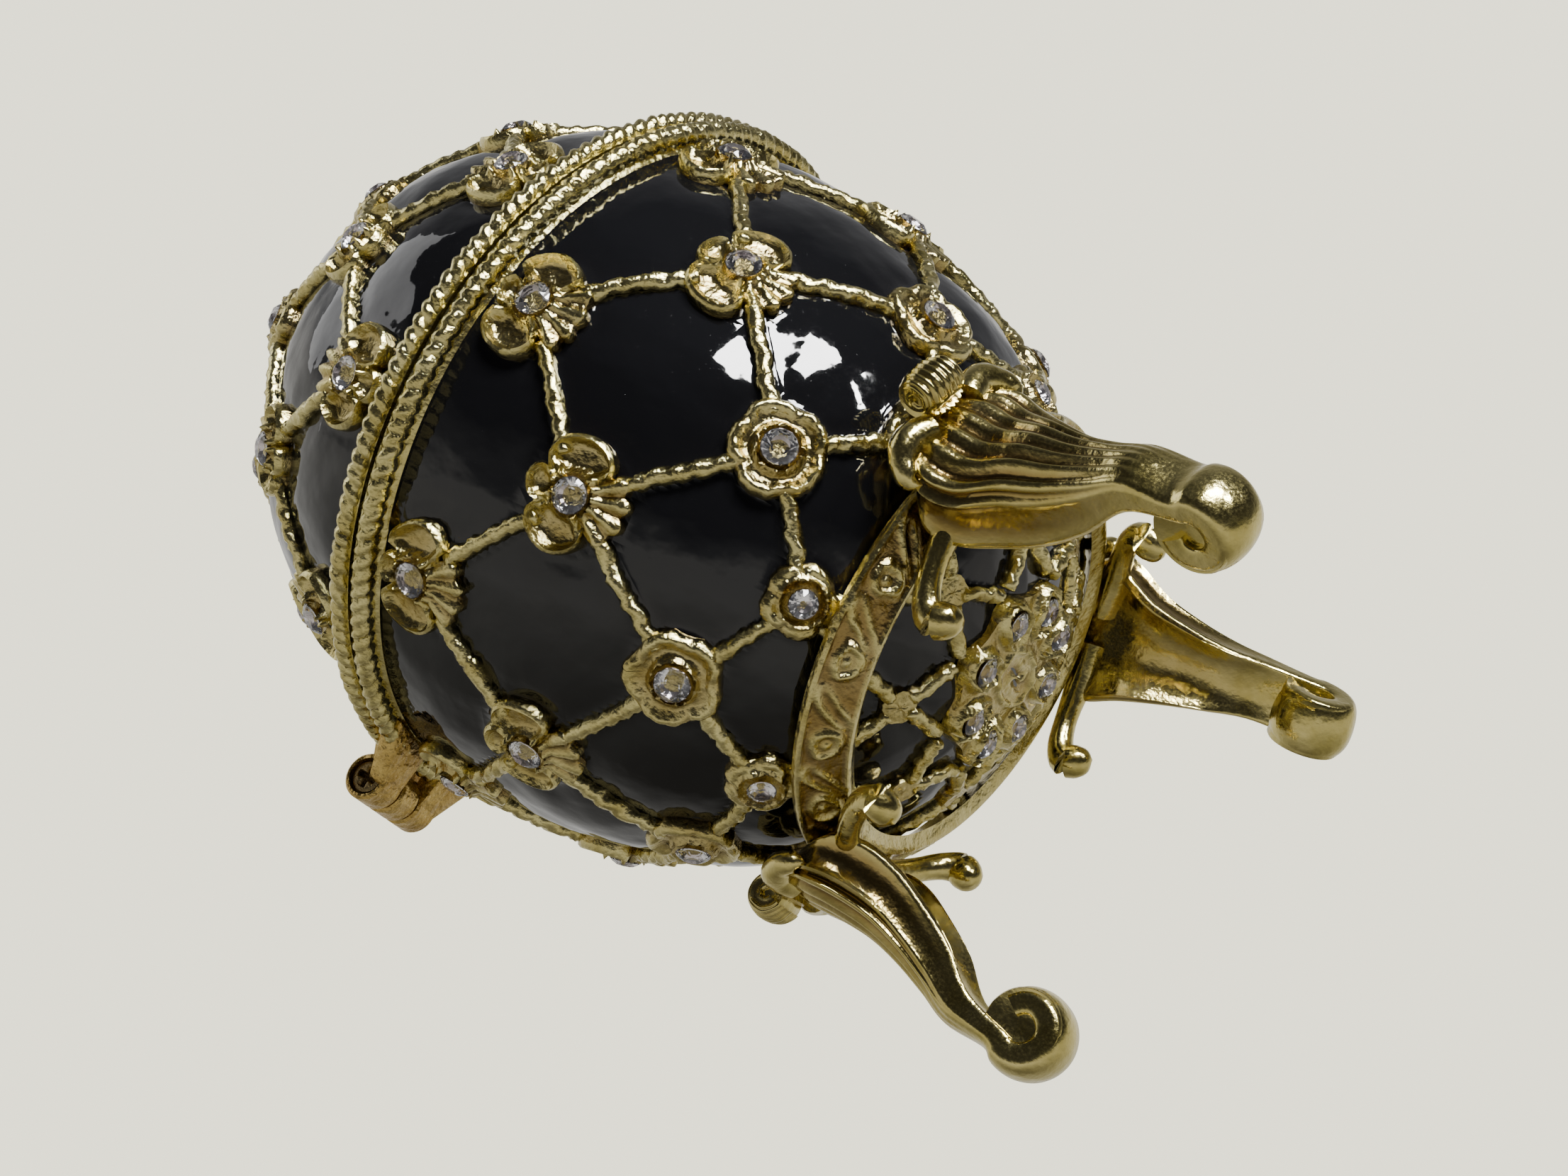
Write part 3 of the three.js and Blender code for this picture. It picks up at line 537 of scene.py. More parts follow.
def rim_rope(half):
    sign = math.copysign(1, half["height"])
    bm = bmesh.new()
    hollow_shade_and_tarnish = bm.verts.layers.float.new("hollow_shade_and_tarnish")

    def place(u, v):
        azimuth, section = 2 * math.pi * u, 2 * math.pi * v
        wander = noise.noise(Vector((math.cos(azimuth), math.sin(azimuth), sign)) * 9)
        size = strand_radius(section - sign * azimuth * ROPE_TWISTS + wander * 1.2, ROPE_SIZE)
        size *= 1 + 0.10 * wander
        out, up = size * math.cos(section), size * math.sin(section) * 0.92
        r, z = ROPE_CENTRE + out, SEAM + sign * ROPE_RISE + up
        shade = max(0, min(1, (0.62 - math.hypot(out, up) / ROPE_SIZE) * 2.2))
        return Vector((r * math.cos(azimuth), r * math.sin(azimuth), z)), shade

    mapped_sheet(bm, hollow_shade_and_tarnish, ROPE_TWISTS * 8, 14, place)
    inner = half["radius"] - WALL - 0.02
    lip = [(inner, 0.15), (LIP_RADIUS, 0.15), (LIP_RADIUS, 0.5), (21.2, 1.55), (inner, 1.0), (inner, 0.15)]
    spun(bm, [(r, SEAM + sign * rise) for r, rise in lip], 144)
    return finished(bm, f"rim_{half['name']}", half["rides"], [gilt_cast], 50)


for half in (BODY, LID):
    rim_rope(half)


# ---- net ropes ----
# The net's lines are two-strand ropes cast in one with the egg: a little uneven, half sunk in the enamel,
# with their ends under the flowers.

TWIST_LENGTH = 2.3
NET_ROPE_SIZE = 0.60
NET_ROPE_RISE = 0.12            # of its centre over the egg
UNDER_FLOWER = 0.72             # share of a flower's radius where a rope ends


def close_ends(bm, sides=0):
    """Fills the open loops of a swept piece, any size or up to a number of sides."""
    bmesh.ops.remove_doubles(bm, verts=bm.verts, dist=1e-4)
    bmesh.ops.holes_fill(bm, edges=[edge for edge in bm.edges if edge.is_boundary], sides=sides)


def net_rope(bm, hollow_shade_and_tarnish, half, start, end, seed):
    span = end - start
    twists = span.length / TWIST_LENGTH
    bow = noise.noise(Vector((seed * 3.1, 0, 0))) * 0.35

    def place(u, v):
        base = start + span * u
        up = outward(half, base)
        across = up.cross(span).normalized()
        bend = bow * math.sin(math.pi * u) + noise.noise(Vector((u * 5, seed * 7.7, 0))) * 0.16
        centre = pressed_on(half, base + across * bend) + up * NET_ROPE_RISE
        section = 2 * math.pi * v
        wander = noise.noise(Vector((u * 7, seed * 5.3, 2)))
        size = strand_radius(section + 2 * math.pi * u * twists + wander * 2, NET_ROPE_SIZE)
        size *= 1 + 0.16 * wander
        point = centre + across * size * math.cos(section) * 0.92 + up * size * math.sin(section)
        return point, max(0, min(1, (0.42 - size) * 4))

    mapped_sheet(bm, hollow_shade_and_tarnish, max(10, int(span.length * 4.2)), 10, place)


def rope_net(half):
    bm = bmesh.new()
    hollow_shade_and_tarnish = bm.verts.layers.float.new("hollow_shade_and_tarnish")
    for seed, (start, end, cover, end_cover) in enumerate(net_lines(half)):
        way = (end - start).normalized()
        from_here, to_here = start + way * cover * UNDER_FLOWER, end - way * end_cover * UNDER_FLOWER
        net_rope(bm, hollow_shade_and_tarnish, half, from_here, to_here, seed + 1)
    close_ends(bm, 12)
    return finished(bm, f"net_{half['name']}", half["rides"], [gilt_cast])


for half in (BODY, LID):
    rope_net(half)


# ---- flowers ----
# Where ropes cross there is a cast flower with a stone in a round bezel. Those near the rim have two big
# cupped petals, a small one towards the rim and a fan of ribbed teeth away from it. Further off they are
# five-lobed rosettes, smaller from row to row.

SEAT_RADIUS = 1.05              # flat under the stone
BEZEL_RADIUS = 1.24
BEZEL_RISE = 0.50
FAN_ROWS = 2                    # rows next to the rim that have fans
PETALS = ((1.42, 0.86, "cup"), (-1.42, 0.86, "cup"), (0, 0.52, "small"))      # turn, half width, kind
FAN_HALF_WIDTH = 0.80
TOOTH_TURN = 0.40


def lobe(turn, centre, half_width):
    away = abs((turn - centre + math.pi) % (2 * math.pi) - math.pi)
    return away, max(0.0, 1 - (away / half_width) ** 2) ** 0.5


def fan_flower(turn, size, north):
    """A fan flower's edge, the part that reaches it and its teeth, at a turn from the rim's direction."""
    best_edge, best = size * 0.60, None
    for centre, width, kind in PETALS:
        away, bulge = lobe(turn, centre, width)
        reach = north if kind == "small" else 1.0
        edge = size * reach * (0.62 + 0.38 * bulge ** 0.8)
        if bulge > 0 and edge > best_edge:
            best_edge, best = edge, (away, width, kind)
    away, bulge = lobe(turn, math.pi, FAN_HALF_WIDTH)
    tooth = abs(math.sin((turn - math.pi) * math.pi / TOOTH_TURN))
    if bulge > 0:
        edge = size * (0.70 + 0.12 * bulge + 0.17 * tooth ** 0.7)
        if edge > best_edge:
            best_edge, best = edge, (away, FAN_HALF_WIDTH, "teeth")
    return best_edge, best, tooth


def rosette(turn, size):
    """A rosette's edge, and how near the middle of a lobe the turn is."""
    wave = abs(math.cos(2.5 * turn))
    scallop = abs(math.cos(10 * turn))
    return size * (0.84 + 0.13 * wave + 0.03 * scallop), wave


def ridge(distance, width):
    """A soft ridge, 1 at distance 0."""
    return math.exp(-(distance / width) ** 2)


def flower_height(kind, r, edge, part, wave, relief):
    """Height and shade of a flower at radius r, where its edge is at the radius edge."""
    rim = edge - r
    bezel = BEZEL_RISE * ridge(r - BEZEL_RADIUS, 0.17)
    if r < SEAT_RADIUS:
        return 0.45 + bezel, 0.3
    if kind == "fan" and part is not None:
        away, width, form = part
        side = (width - away) * r
        if form == "teeth":
            rib = wave ** 1.3
            return 0.42 + 0.30 * relief * rib * min(1, (r - 1.0) / 0.8) + bezel, 0.75 * (1 - rib)
        rise = max(ridge(rim - 0.24, 0.22), 0.75 * ridge(side - 0.22, 0.20))
        bowl = (1 - math.exp(-min(rim, side + 0.1) / 0.5)) * (1 - rise)
        depth = 0.20 if form == "small" else 0.30
        return 0.42 + relief * (0.46 * rise - depth * bowl) + bezel, 0.55 * bowl
    if kind == "rosette":
        rise = ridge(rim - 0.42, 0.36)
        groove = (1 - wave) ** 3 * rise
        return 0.40 + relief * (0.44 * rise - 0.24 * groove) + bezel, 0.5 * (1 - rise) + 0.4 * groove
    return 0.36 + bezel, 0.2


def cast_flower(bm, hollow_shade_and_tarnish, half, row, column, kind, size, north, seed, bezel=True):
    centre = crossing(half, row, column)
    out = outward(half, centre)
    east = Vector((-centre.y, centre.x, 0)).normalized()
    toward_rim = out.cross(east) * math.copysign(1, half["height"])
    toward_rim = toward_rim if toward_rim.z * -half["height"] > 0 else -toward_rim
    relief = 0.75 + 0.45 * (noise.noise(Vector((seed * 4.7, 1, 0))) + 0.5)

    def place(u, v):
        u = round(u, 5)
        turn = 2 * math.pi * v
        warp = noise.noise(Vector((math.cos(turn) * 1.3, math.sin(turn) * 1.3, seed * 2.9)))
        if kind == "fan":
            edge, part, wave = fan_flower(turn + 0.10 * warp, size, north)
        else:
            edge, wave = rosette(turn + 0.22 * seed + 0.10 * warp, size)
            part = None
        edge *= 1 + 0.07 * warp
        if u <= 0.8:
            r = edge * min(1, u / 0.78) ** 0.9
            height, shade = flower_height(kind, r, edge, part, wave, relief)
            height += 0.05 * noise.noise(Vector((r * 1.6, turn * 2, seed * 1.7)))
            if not bezel:
                height = min(height, 0.46 + 0.25 * ridge(r, 0.5))
            if u > 0.78:
                height *= 0.72
        else:
            r = edge * (1.0, 1.01, 0.6, 0)[min(3, round((u - 0.8) * 15))]
            height, shade = (-0.05, 0.6) if u < 0.84 else (-0.35, 1)
        at = pressed_on(half, centre + (east * math.sin(turn) + toward_rim * math.cos(turn)) * r)
        return at + outward(half, at) * height, shade

    mapped_sheet(bm, hollow_shade_and_tarnish, 20, 80, place)


def flowers(half):
    bm = bmesh.new()
    hollow_shade_and_tarnish = bm.verts.layers.float.new("hollow_shade_and_tarnish")
    for row, (_, size) in enumerate(half["rows"]):
        for column in range(IN_A_ROW if size >= 1 else 0):
            seed = row * IN_A_ROW + column + (0 if half is BODY else 50)
            kind = "fan" if row < FAN_ROWS else "rosette"
            north = 0.74 if row == 0 and half is BODY else 0.86
            cast_flower(bm, hollow_shade_and_tarnish, half, row, column, kind, size, north, seed, bezel=size > 2)
    return finished(bm, f"flowers_{half['name']}", half["rides"], [gilt_cast], 60)


for half in (BODY, LID):
    flowers(half)


# ---- stones ----
# Round crystals with sixteen-sided girdles, cut as brilliants and backed with silver foil, sit in the
# bezels. The rim of each bezel is pressed over the stone's edge.

GIRDLE_SIDES = 16
GIRDLE_RISE = 0.99              # of the stone's girdle over the egg
ROW_NAMES = {"body": ["row_a", "row_b", "row_c", "row_d"], "lid": ["lid_row_a", "lid_row_b", "lid_row_c"]}
SMALL_STONES = {"row_d": 0.8, "lid_row_c": 0.85}
NOT_IN_SOLIDS = "lid_row_c"


def crystal():
    material, nodes, links = new_material("cut_crystal")
    place = nodes.new("ShaderNodeTexCoord").outputs["Object"]
    tint = noise_texture(nodes, links, place, 700, 1)
    haze = noise_texture(nodes, links, place, 4200, 3, 0.6)
    shader = nodes.new("ShaderNodeBsdfPrincipled")
    clear = colour_mix(nodes, links, tint, (1.0, 0.96, 0.97), (0.92, 0.94, 0.96))
    links.new(clear, shader.inputs["Base Color"])
    links.new(remapped(nodes, links, haze, 0.45, 0.75, 0.0, 0.05), shader.inputs["Roughness"])
    shader.inputs["Transmission Weight"].default_value = 1
    shader.inputs["IOR"].default_value = 1.58
    to_output(nodes, links, shader)
    return material


def silver_foil():
    material, nodes, links = new_material("silver_foil")
    place = nodes.new("ShaderNodeTexCoord").outputs["Object"]
    age = noise_texture(nodes, links, place, 1600, 2)
    shader = nodes.new("ShaderNodeBsdfPrincipled")
    shader.inputs["Metallic"].default_value = 1
    silver = colour_mix(nodes, links, age, (0.95, 0.91, 0.91), (0.66, 0.58, 0.56))
    links.new(silver, shader.inputs["Base Color"])
    links.new(remapped(nodes, links, age, 0, 1, 0.05, 0.2), shader.inputs["Roughness"])
    to_output(nodes, links, shader)
    return material


clear_crystal = crystal()
foil = silver_foil()


def brilliant(bm, radius, centre, out, turn):
    """A brilliant as the hull of its corners, girdle at the centre, with a foil cup under it."""
    side = out.orthogonal().normalized()
    other = out.cross(side)

    def corner(share, height, count, offset):
        return [centre + (side * math.cos(a) + other * math.sin(a)) * radius * share + out * radius * height
                for a in (turn + (k + offset) * 2 * math.pi / count for k in range(count))]

    points = corner(0.56, 0.33, 8, 0) + corner(0.80, 0.19, 8, 0.5) + corner(1.0, 0.02, GIRDLE_SIDES, 0)
    points += corner(1.0, -0.04, GIRDLE_SIDES, 0) + corner(0.55, -0.40, 8, 0.5) + corner(0.04, -0.78, 8, 0)
    cut = bmesh.ops.convex_hull(bm, input=[bm.verts.new(p) for p in points])
    for face in {f for f in cut["geom"] if isinstance(f, bmesh.types.BMFace)}:
        face.material_index = 0
    lines = []
    for share, height in ((1.05, -0.05), (0.60, -0.44), (0.02, -0.84)):
        loop = [bm.verts.new(p) for p in corner(share, height, GIRDLE_SIDES, 0)]
        lines.append([bm.edges.new((loop[k], loop[k - 1])) for k in range(GIRDLE_SIDES)])
    for upper, lower in zip(lines, lines[1:]):
        for face in bmesh.ops.bridge_loops(bm, edges=upper + lower)["faces"]:
            face.material_index = 1


def set_stones(name, places, nodes_replaced, radius, body):
    bm = bmesh.new()
    for k, (centre, out) in enumerate(places):
        brilliant(bm, radius, centre, out, 0.37 * k)
    piece = finished(bm, name, body, [clear_crystal, foil])
    for face in piece.data.polygons:
        face.use_smooth = False
    if nodes_replaced:
        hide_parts(*nodes_replaced)


def row_places(half, row):
    """Centre and direction of each stone of a row."""
    places = []
    for column in range(IN_A_ROW):
        at = crossing(half, row, column)
        places.append((at + outward(half, at) * GIRDLE_RISE, outward(half, at)))
    return places


for half in (BODY, LID):
    for row, label in enumerate(ROW_NAMES[half["name"]]):
        solids = [f"stone_{label}_{k + 1}" for k in range(0 if label == NOT_IN_SOLIDS else IN_A_ROW)]
        radius = SMALL_STONES.get(label, 1.0)
        set_stones(f"stones_{label}", row_places(half, row), solids, radius, half["rides"])


# ---- medallion ----
# The underside carries a cast medallion: eight stones in raised almond cells round a flowing oval
# rosette, with a scalloped edge that the enamel meets.

MEDALLION_Z = 14.25
MEDALLION_RADIUS = 5.75
SCALLOP = 0.55
STONE_RING = 4.16
ALMOND_LENGTH, ALMOND_WIDTH = 1.9, 1.10           # half of each
HEART_EDGE, HEART_BLEND = 2.9, 0.3                # where the oval in the middle ends, and how softly


def oval_flow(x, y):
    """Height of the carved oval in the middle: a rope of leaves round a twisted heart."""
    turn = math.atan2(y, x)
    across = math.hypot(x / 1.45, y)
    rim = 0.30 * ridge(across - 1.55, 0.20) * (0.75 + 0.25 * math.cos(turn * 9 + across * 2))
    flow = 0.20 * math.cos(3.4 * across + 2 * turn + 1.3 * math.sin(2 * turn)) * max(0, 1 - across / 1.5)
    return rim + flow


def almond(p, q):
    """Distance from an almond's outline: p along the spoke, q across it."""
    if abs(p) >= ALMOND_LENGTH:
        return math.hypot(abs(p) - ALMOND_LENGTH, q)
    return abs(q) - ALMOND_WIDTH * (1 - (p / ALMOND_LENGTH) ** 2)


def medallion():
    bm = bmesh.new()
    hollow_shade_and_tarnish = bm.verts.layers.float.new("hollow_shade_and_tarnish")
    spoke_turn = 2 * math.pi / IN_A_ROW

    def place(u, v):
        azimuth = 2 * math.pi * v
        spoke = ((azimuth - NET_TURN) / spoke_turn) % 1 - 0.5
        edge = MEDALLION_RADIUS - SCALLOP * abs(math.sin(math.pi * spoke)) ** 1.5
        r = edge * min(1, u / 0.9)
        x, y = r * math.cos(azimuth), r * math.sin(azimuth)
        p = r * math.cos(spoke * spoke_turn) - STONE_RING
        q = r * math.sin(spoke * spoke_turn)
        bezel = math.hypot(p, q)
        height = 0.12 + 0.50 * ridge(almond(p, q), 0.20) + 0.34 * ridge(bezel - 0.98, 0.15)
        if r < HEART_EDGE:
            heart = 0.14 + oval_flow(x, y) * min(1, (HEART_EDGE - r) / HEART_BLEND)
            height = max(height * min(1, max(0, (r - 2.0) / 0.8)), heart)
        height += 0.03 * noise.noise(Vector((x * 1.8, y * 1.8, 4)))
        if bezel < 0.85:
            height = 0.05
        shade = max(0, min(1, 0.75 - height * 2.4))
        if u > 0.9:
            height = -0.5
        dome = 0.40 * (r / 5.7) ** 2
        return Vector((x, y, MEDALLION_Z - height + dome)), shade

    mapped_sheet(bm, hollow_shade_and_tarnish, 56, 280, place)
    close_ends(bm)
    finished(bm, "medallion", "base", [gilt_cast], 60)
    places = []
    for k in range(IN_A_ROW):
        azimuth = NET_TURN + (k + 0.5) * spoke_turn
        x, y = STONE_RING * math.cos(azimuth), STONE_RING * math.sin(azimuth)
        places.append((Vector((x, y, MEDALLION_Z - 0.32)), Vector((0, 0, -1))))
    solids = [f"stone_medallion_{k + 1}" for k in range(IN_A_ROW)]
    set_stones("stones_medallion", places, solids, 0.85, "base")


medallion()


# ---- top flower ----
# The crown of the lid is one cast flower of eight petals with a bead in its middle.

def top_flower():
    bm = bmesh.new()
    hollow_shade_and_tarnish = bm.verts.layers.float.new("hollow_shade_and_tarnish")

    def place(u, v):
        turn = 2 * math.pi * v
        petal = abs(math.cos(4 * (turn - NET_TURN)))
        edge = 2.55 + 0.75 * petal ** 0.6
        r = edge * min(1, u / 0.9)
        rise = ridge(edge - r - 0.3, 0.28)
        groove = (1 - petal) ** 2 * min(1, r / 1.4)
        height = 0.26 + 0.20 * rise - 0.22 * groove + 0.34 * ridge(r, 0.62)
        height += 0.04 * noise.noise(Vector((r * 2, turn * 3, 8)))
        shade = max(0, min(1, 0.6 - rise + groove - ridge(r, 0.6)))
        if u > 0.9:
            height = -0.3
        z = SEAM + LID["height"] - 0.03 * r ** 2 + min(height, 0.75)
        return Vector((r * math.cos(turn), r * math.sin(turn), z)), shade

    mapped_sheet(bm, hollow_shade_and_tarnish, 24, 96, place)
    close_ends(bm)
    finished(bm, "top_flower", "lid", [gilt_cast], 60)


top_flower()


# ---- hinge ----
# Two knuckles on the body and one on the lid, each on a plate that flares into its rim. A brass screw with
# a cross-cut head goes through all three and lies in a recess of the first knuckle.

HINGE_Y = (PIN[1] - AXIS_Y) * 1000
KNUCKLE = 1.46
KNUCKLE_EDGE = 0.16
BORE = 0.7
RECESS = 1.15                   # radius of the recess for the screw's head
RECESS_DEPTH = 0.72
PLATE_RADIUS = 21.6             # where the plates meet the rims
SCREW_RADIUS = 0.55
SCREW_HEAD = 0.98


def about_pin(bm, profile, steps=40):
    """Spins [x, radius] pairs round the hinge pin."""
    corners = [bm.verts.new((x, HINGE_Y, SEAM + r)) for x, r in profile]
    edges = [bm.edges.new(pair) for pair in zip(corners, corners[1:])]
    bmesh.ops.spin(bm, geom=corners + edges, cent=(0, HINGE_Y, SEAM), axis=(1, 0, 0), angle=2 * math.pi,
                   steps=steps, use_merge=True)


def knuckle(bm, start, end, recessed):
    mouth, shoulder = RECESS if recessed else BORE, KNUCKLE - KNUCKLE_EDGE
    profile = [(start, mouth), (start, shoulder), (start + KNUCKLE_EDGE, KNUCKLE),
               (end - KNUCKLE_EDGE, KNUCKLE), (end, shoulder), (end, BORE)]
    if recessed:
        profile += [(start + RECESS_DEPTH, BORE), (start + RECESS_DEPTH, mouth)]
    profile.append((start, mouth))
    about_pin(bm, profile)


def hinge_plate(bm, half, start, end, flare_start, flare_end):
    """A plate from a knuckle to the rim, wider where it meets the rim."""
    sign = math.copysign(1, half["height"])
    corners = bmesh.ops.create_cube(bm, size=1)["verts"]
    for v in corners:
        at_rim, left, low = v.co.y < 0, v.co.x < 0, v.co.z < 0
        ends = (flare_start, flare_end) if at_rim else (start, end)
        x = ends[0] if left else ends[1]
        y = math.sqrt(PLATE_RADIUS ** 2 - x ** 2) if at_rim else HINGE_Y
        near, far = SEAM + sign * LIP_GAP, SEAM + sign * (1.55 if at_rim else 1.38)
        v.co = (x, y, min(near, far) if low else max(near, far))
    edges = list({edge for v in corners for edge in v.link_edges})
    bmesh.ops.bevel(bm, geom=edges, offset=0.16, affect="EDGES", segments=2, profile=0.5, material=-1)


def hinge_casting(half, parts):
    """Parts are a knuckle's start and end, its plate's start and end at the rim, and if it is recessed."""
    bm = bmesh.new()
    for start, end, flare_start, flare_end, recessed in parts:
        knuckle(bm, start, end, recessed)
        hinge_plate(bm, half, start, end, flare_start, flare_end)
    finished(bm, f"hinge_{half['name']}", half["rides"], [gilt_raw], 40)


hinge_casting(BODY, [(-3.3, -1.22, -5.6, -1.3, True), (1.22, 3.3, 1.3, 5.6, False)])
hinge_casting(LID, [(-0.98, 0.98, -3.4, 3.4, False)])
screw_brass = gilt("screw_brass", (0.42, 0.32, 0.15), (0.30, 0.21, 0.09), (0.06, 0.03, 0.01), 0.10, 0.06,
                   0.22, 0.45)


def hinge_screw():
    bm = bmesh.new()
    hollow_shade_and_tarnish = bm.verts.layers.float.new("hollow_shade_and_tarnish")
    face_x, head_depth, tip = -3.2, 0.5, 3.05

    def place(u, v):
        turn = 2 * math.pi * v
        r = SCREW_HEAD * min(1, u / 0.85)
        y, z = r * math.cos(turn), r * math.sin(turn)
        cut = max(ridge(y, 0.16), ridge(z, 0.16)) if r < 0.72 else 0
        depth = 0.10 * (r / SCREW_HEAD) ** 4 + 0.34 * min(1, 1.4 * cut) + (head_depth if u > 0.85 else 0)
        return Vector((face_x + depth, HINGE_Y + y, SEAM + z)), min(1, cut * 1.3)

    mapped_sheet(bm, hollow_shade_and_tarnish, 24, 64, place)
    shank = face_x + head_depth
    about_pin(bm, [(shank, 0), (shank, SCREW_RADIUS), (tip - 0.07, SCREW_RADIUS), (tip, SCREW_RADIUS - 0.07),
                   (tip, 0)], 20)
    piece = finished(bm, "screw", "base", [screw_brass], 50)
    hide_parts("hinge_screw")


hinge_screw()


# ---- stand ring ----
# The stand is one gilt casting. Its ring is a cone that hugs the egg: a plain pale lip below and a wider
# band above it with cast leaves, drops and beads between two fine edges.

# Section of the ring, from the inner edge of the lip, over the band, and back along the egg.
BAND = [(11.4, 16.8), (12.25, 16.4), (14.6, 18.3), (14.4, 18.75), (13.5, 18.75), (11.4, 16.8)]
REPEATS = 17                    # of the cast pattern round the ring
BAND_STEPS = 18
EDGE = 0.93                     # share of the band's half width where its fine edges run
BAND_OUT, BAND_DOWN = 0.63, 0.78


def drop_and_leaf(t, s):
    """Relief of one repeat: t along the band from -1 to 1, s across it from -1 to 1."""
    drop = math.hypot((t + 0.55) * 2.6, (s - 0.06) * (1.5 if s < 0.06 else 2.1))
    leaf = s - 0.75 * math.sin((t - 0.1) * 2.6)
    second = s + 0.20 - 0.62 * math.sin((t - 0.42) * 2.6)
    height = 0.30 * ridge(drop - 0.85, 0.26) + 0.24 * ridge(drop, 0.34)
    window = max(0, 1 - ((t - 0.35) / 0.62) ** 2)
    height += window * (0.30 * ridge(leaf, 0.17) + 0.22 * ridge(second, 0.15))
    return height


def stand_ring():
    bm = bmesh.new()
    hollow_shade_and_tarnish = bm.verts.layers.float.new("hollow_shade_and_tarnish")
    lines = [0, 0.3, 0.7, 1] + [1 + k / BAND_STEPS for k in range(1, BAND_STEPS + 1)] + [2.5, 3, 4, 5]

    def place(u, v):
        azimuth = 2 * math.pi * u
        at = lines[round(v * (len(lines) - 1))]
        k = min(4, int(at))
        (r0, z0), (r1, z1) = BAND[k], BAND[k + 1]
        r, z = r0 + (r1 - r0) * (at - k), z0 + (z1 - z0) * (at - k)
        height, shade = 0, 0.1
        if 1 < at < 2:
            s = 2 * (at - 1) - 1
            t = (azimuth / (2 * math.pi) * REPEATS % 1) * 2 - 1
            wander = noise.noise(Vector((math.cos(azimuth) * 6, math.sin(azimuth) * 6, s * 2)))
            height = drop_and_leaf(t + 0.12 * wander, s + 0.10 * wander)
            height = max(height, 0.22 * ridge(abs(s) - EDGE, 0.08)) * (1 - max(0, abs(s) - 0.9) * 6)
            shade = max(0, 0.85 - height * 4)
            height -= 0.16 * (1 - abs(s) ** 6)
        r, z = r + height * BAND_OUT, z - height * BAND_DOWN
        return Vector((r * math.cos(azimuth), r * math.sin(azimuth), z)), shade

    mapped_sheet(bm, hollow_shade_and_tarnish, 1100, len(lines) - 1, place)
    return finished(bm, "stand_ring", "base", [gilt_cast], 55)


ring_piece = stand_ring()


# ---- legs ----
# Each leg is an acanthus strap: a rolled bud at the top, shoulders that fold over the ring, flutes that run
# together down the stem, and a scroll foot with dished sides. The back is hollow and left as cast.

LEGS = [(86.25, 0.0), (206.25, 1.6), (326.25, -0.2)]        # azimuth, and how much further out the foot is
FOOT_OUT, FOOT_RADIUS = 16.7, 2.66
CURL_OUT, CURL_Z = 17.7, 19.8
SIDE_TURN = math.radians(34)                                # of a side scroll from its leg
FRONT_FLUTES = (-0.70, -0.40, -0.12, 0.17, 0.45, 0.72)      # shares of the half width
SIDE_FLUTES = (1.30, 1.62, 1.92)                            # turns from the front
# A side scroll: share of its turn, r, z, radius.
SIDE_SCROLL = (
    (0.15, 13.9, 16.6, 1.0), (0.45, 13.5, 16.1, 0.85), (0.75, 13.15, 15.6, 0.72), (0.95, 12.95, 15.0, 0.8),
    (1.04, 12.9, 14.2, 1.0), (1.0, 12.9, 13.5, 1.0), (0.95, 12.95, 12.95, 0.66), (0.93, 13.0, 12.72, 0.0),
)
# A shoulder's fold: distance to the side, r from the curl, z, radius.
SHOULDER = (
    (1.6, -1.2, 18.6, 0.9), (3.0, -1.2, 19.0, 0.95), (4.1, -1.7, 18.6, 0.8), (4.6, -2.2, 17.8, 0.6),
    (4.3, -2.4, 17.1, 0.0),
)


def curve_through(knots, u):
    """A smooth curve through rows of numbers, u from 0 to 1."""
    last = len(knots) - 1
    k = min(last - 1, int(u * last))
    t = u * last - k
    a, b, c, d = (np.array(knots[min(last, max(0, j))], float) for j in (k - 1, k, k + 1, k + 2))
    square, cube = 2 * a - 5 * b + 4 * c - d, 3 * b - a - 3 * c + d
    return 0.5 * (2 * b + (c - a) * t + square * t ** 2 + cube * t ** 3)


def on_leg(azimuth, r, y, z):
    """A place on a leg: r outwards, y to the side, z up."""
    cos, sin = math.cos(azimuth), math.sin(azimuth)
    return Vector((r * cos - y * sin, r * sin + y * cos, z))


def strap(bm, hollow_shade_and_tarnish, azimuth, knots, along, seed, crown=0.0):
    """Sweeps a strap. A knot is front r, front z, back r, back z, half width, flute depth, back hollow."""
    def place(u, v):
        fr, fz, br, bz, width, flute, cave = curve_through(knots, u)
        turn = 2 * math.pi * v
        side, face = math.sin(turn), math.cos(turn)
        middle = ((fr + br) / 2, (fz + bz) / 2)
        depth = math.hypot(fr - br, fz - bz) / 2
        way = ((fr - br) / (2 * depth + 1e-9), (fz - bz) / (2 * depth + 1e-9))
        if face >= 0:
            out = depth * face ** 0.85
            line = max(ridge(side - groove, 0.075) for groove in FRONT_FLUTES)
            out -= flute * line * min(1, face * 2.2)
            shade = min(1, flute * 2.6 * line)
            out += crown * max(0, abs(side) - 0.78) * 2.2 * min(1, flute * 6)
        else:
            out = -depth * (math.sin(math.pi * min(1, -face) ** 0.7) * 0.85 + (1 - cave) * face ** 2)
            shade = 0.55 * cave * face ** 2
        round_side = math.acos(max(-1, min(1, face)))
        fold = max(ridge(round_side - groove, 0.10) for groove in SIDE_FLUTES)
        side *= 1 - 0.32 * flute * fold
        shade = max(shade, min(1, flute * 2.2 * fold))
        out += noise.noise(Vector((u * 9 + side * 0.8, face * 0.8, seed))) * 0.07
        return on_leg(azimuth, middle[0] + way[0] * out, side * width, middle[1] + way[1] * out), shade

    mapped_sheet(bm, hollow_shade_and_tarnish, along, 120, place)


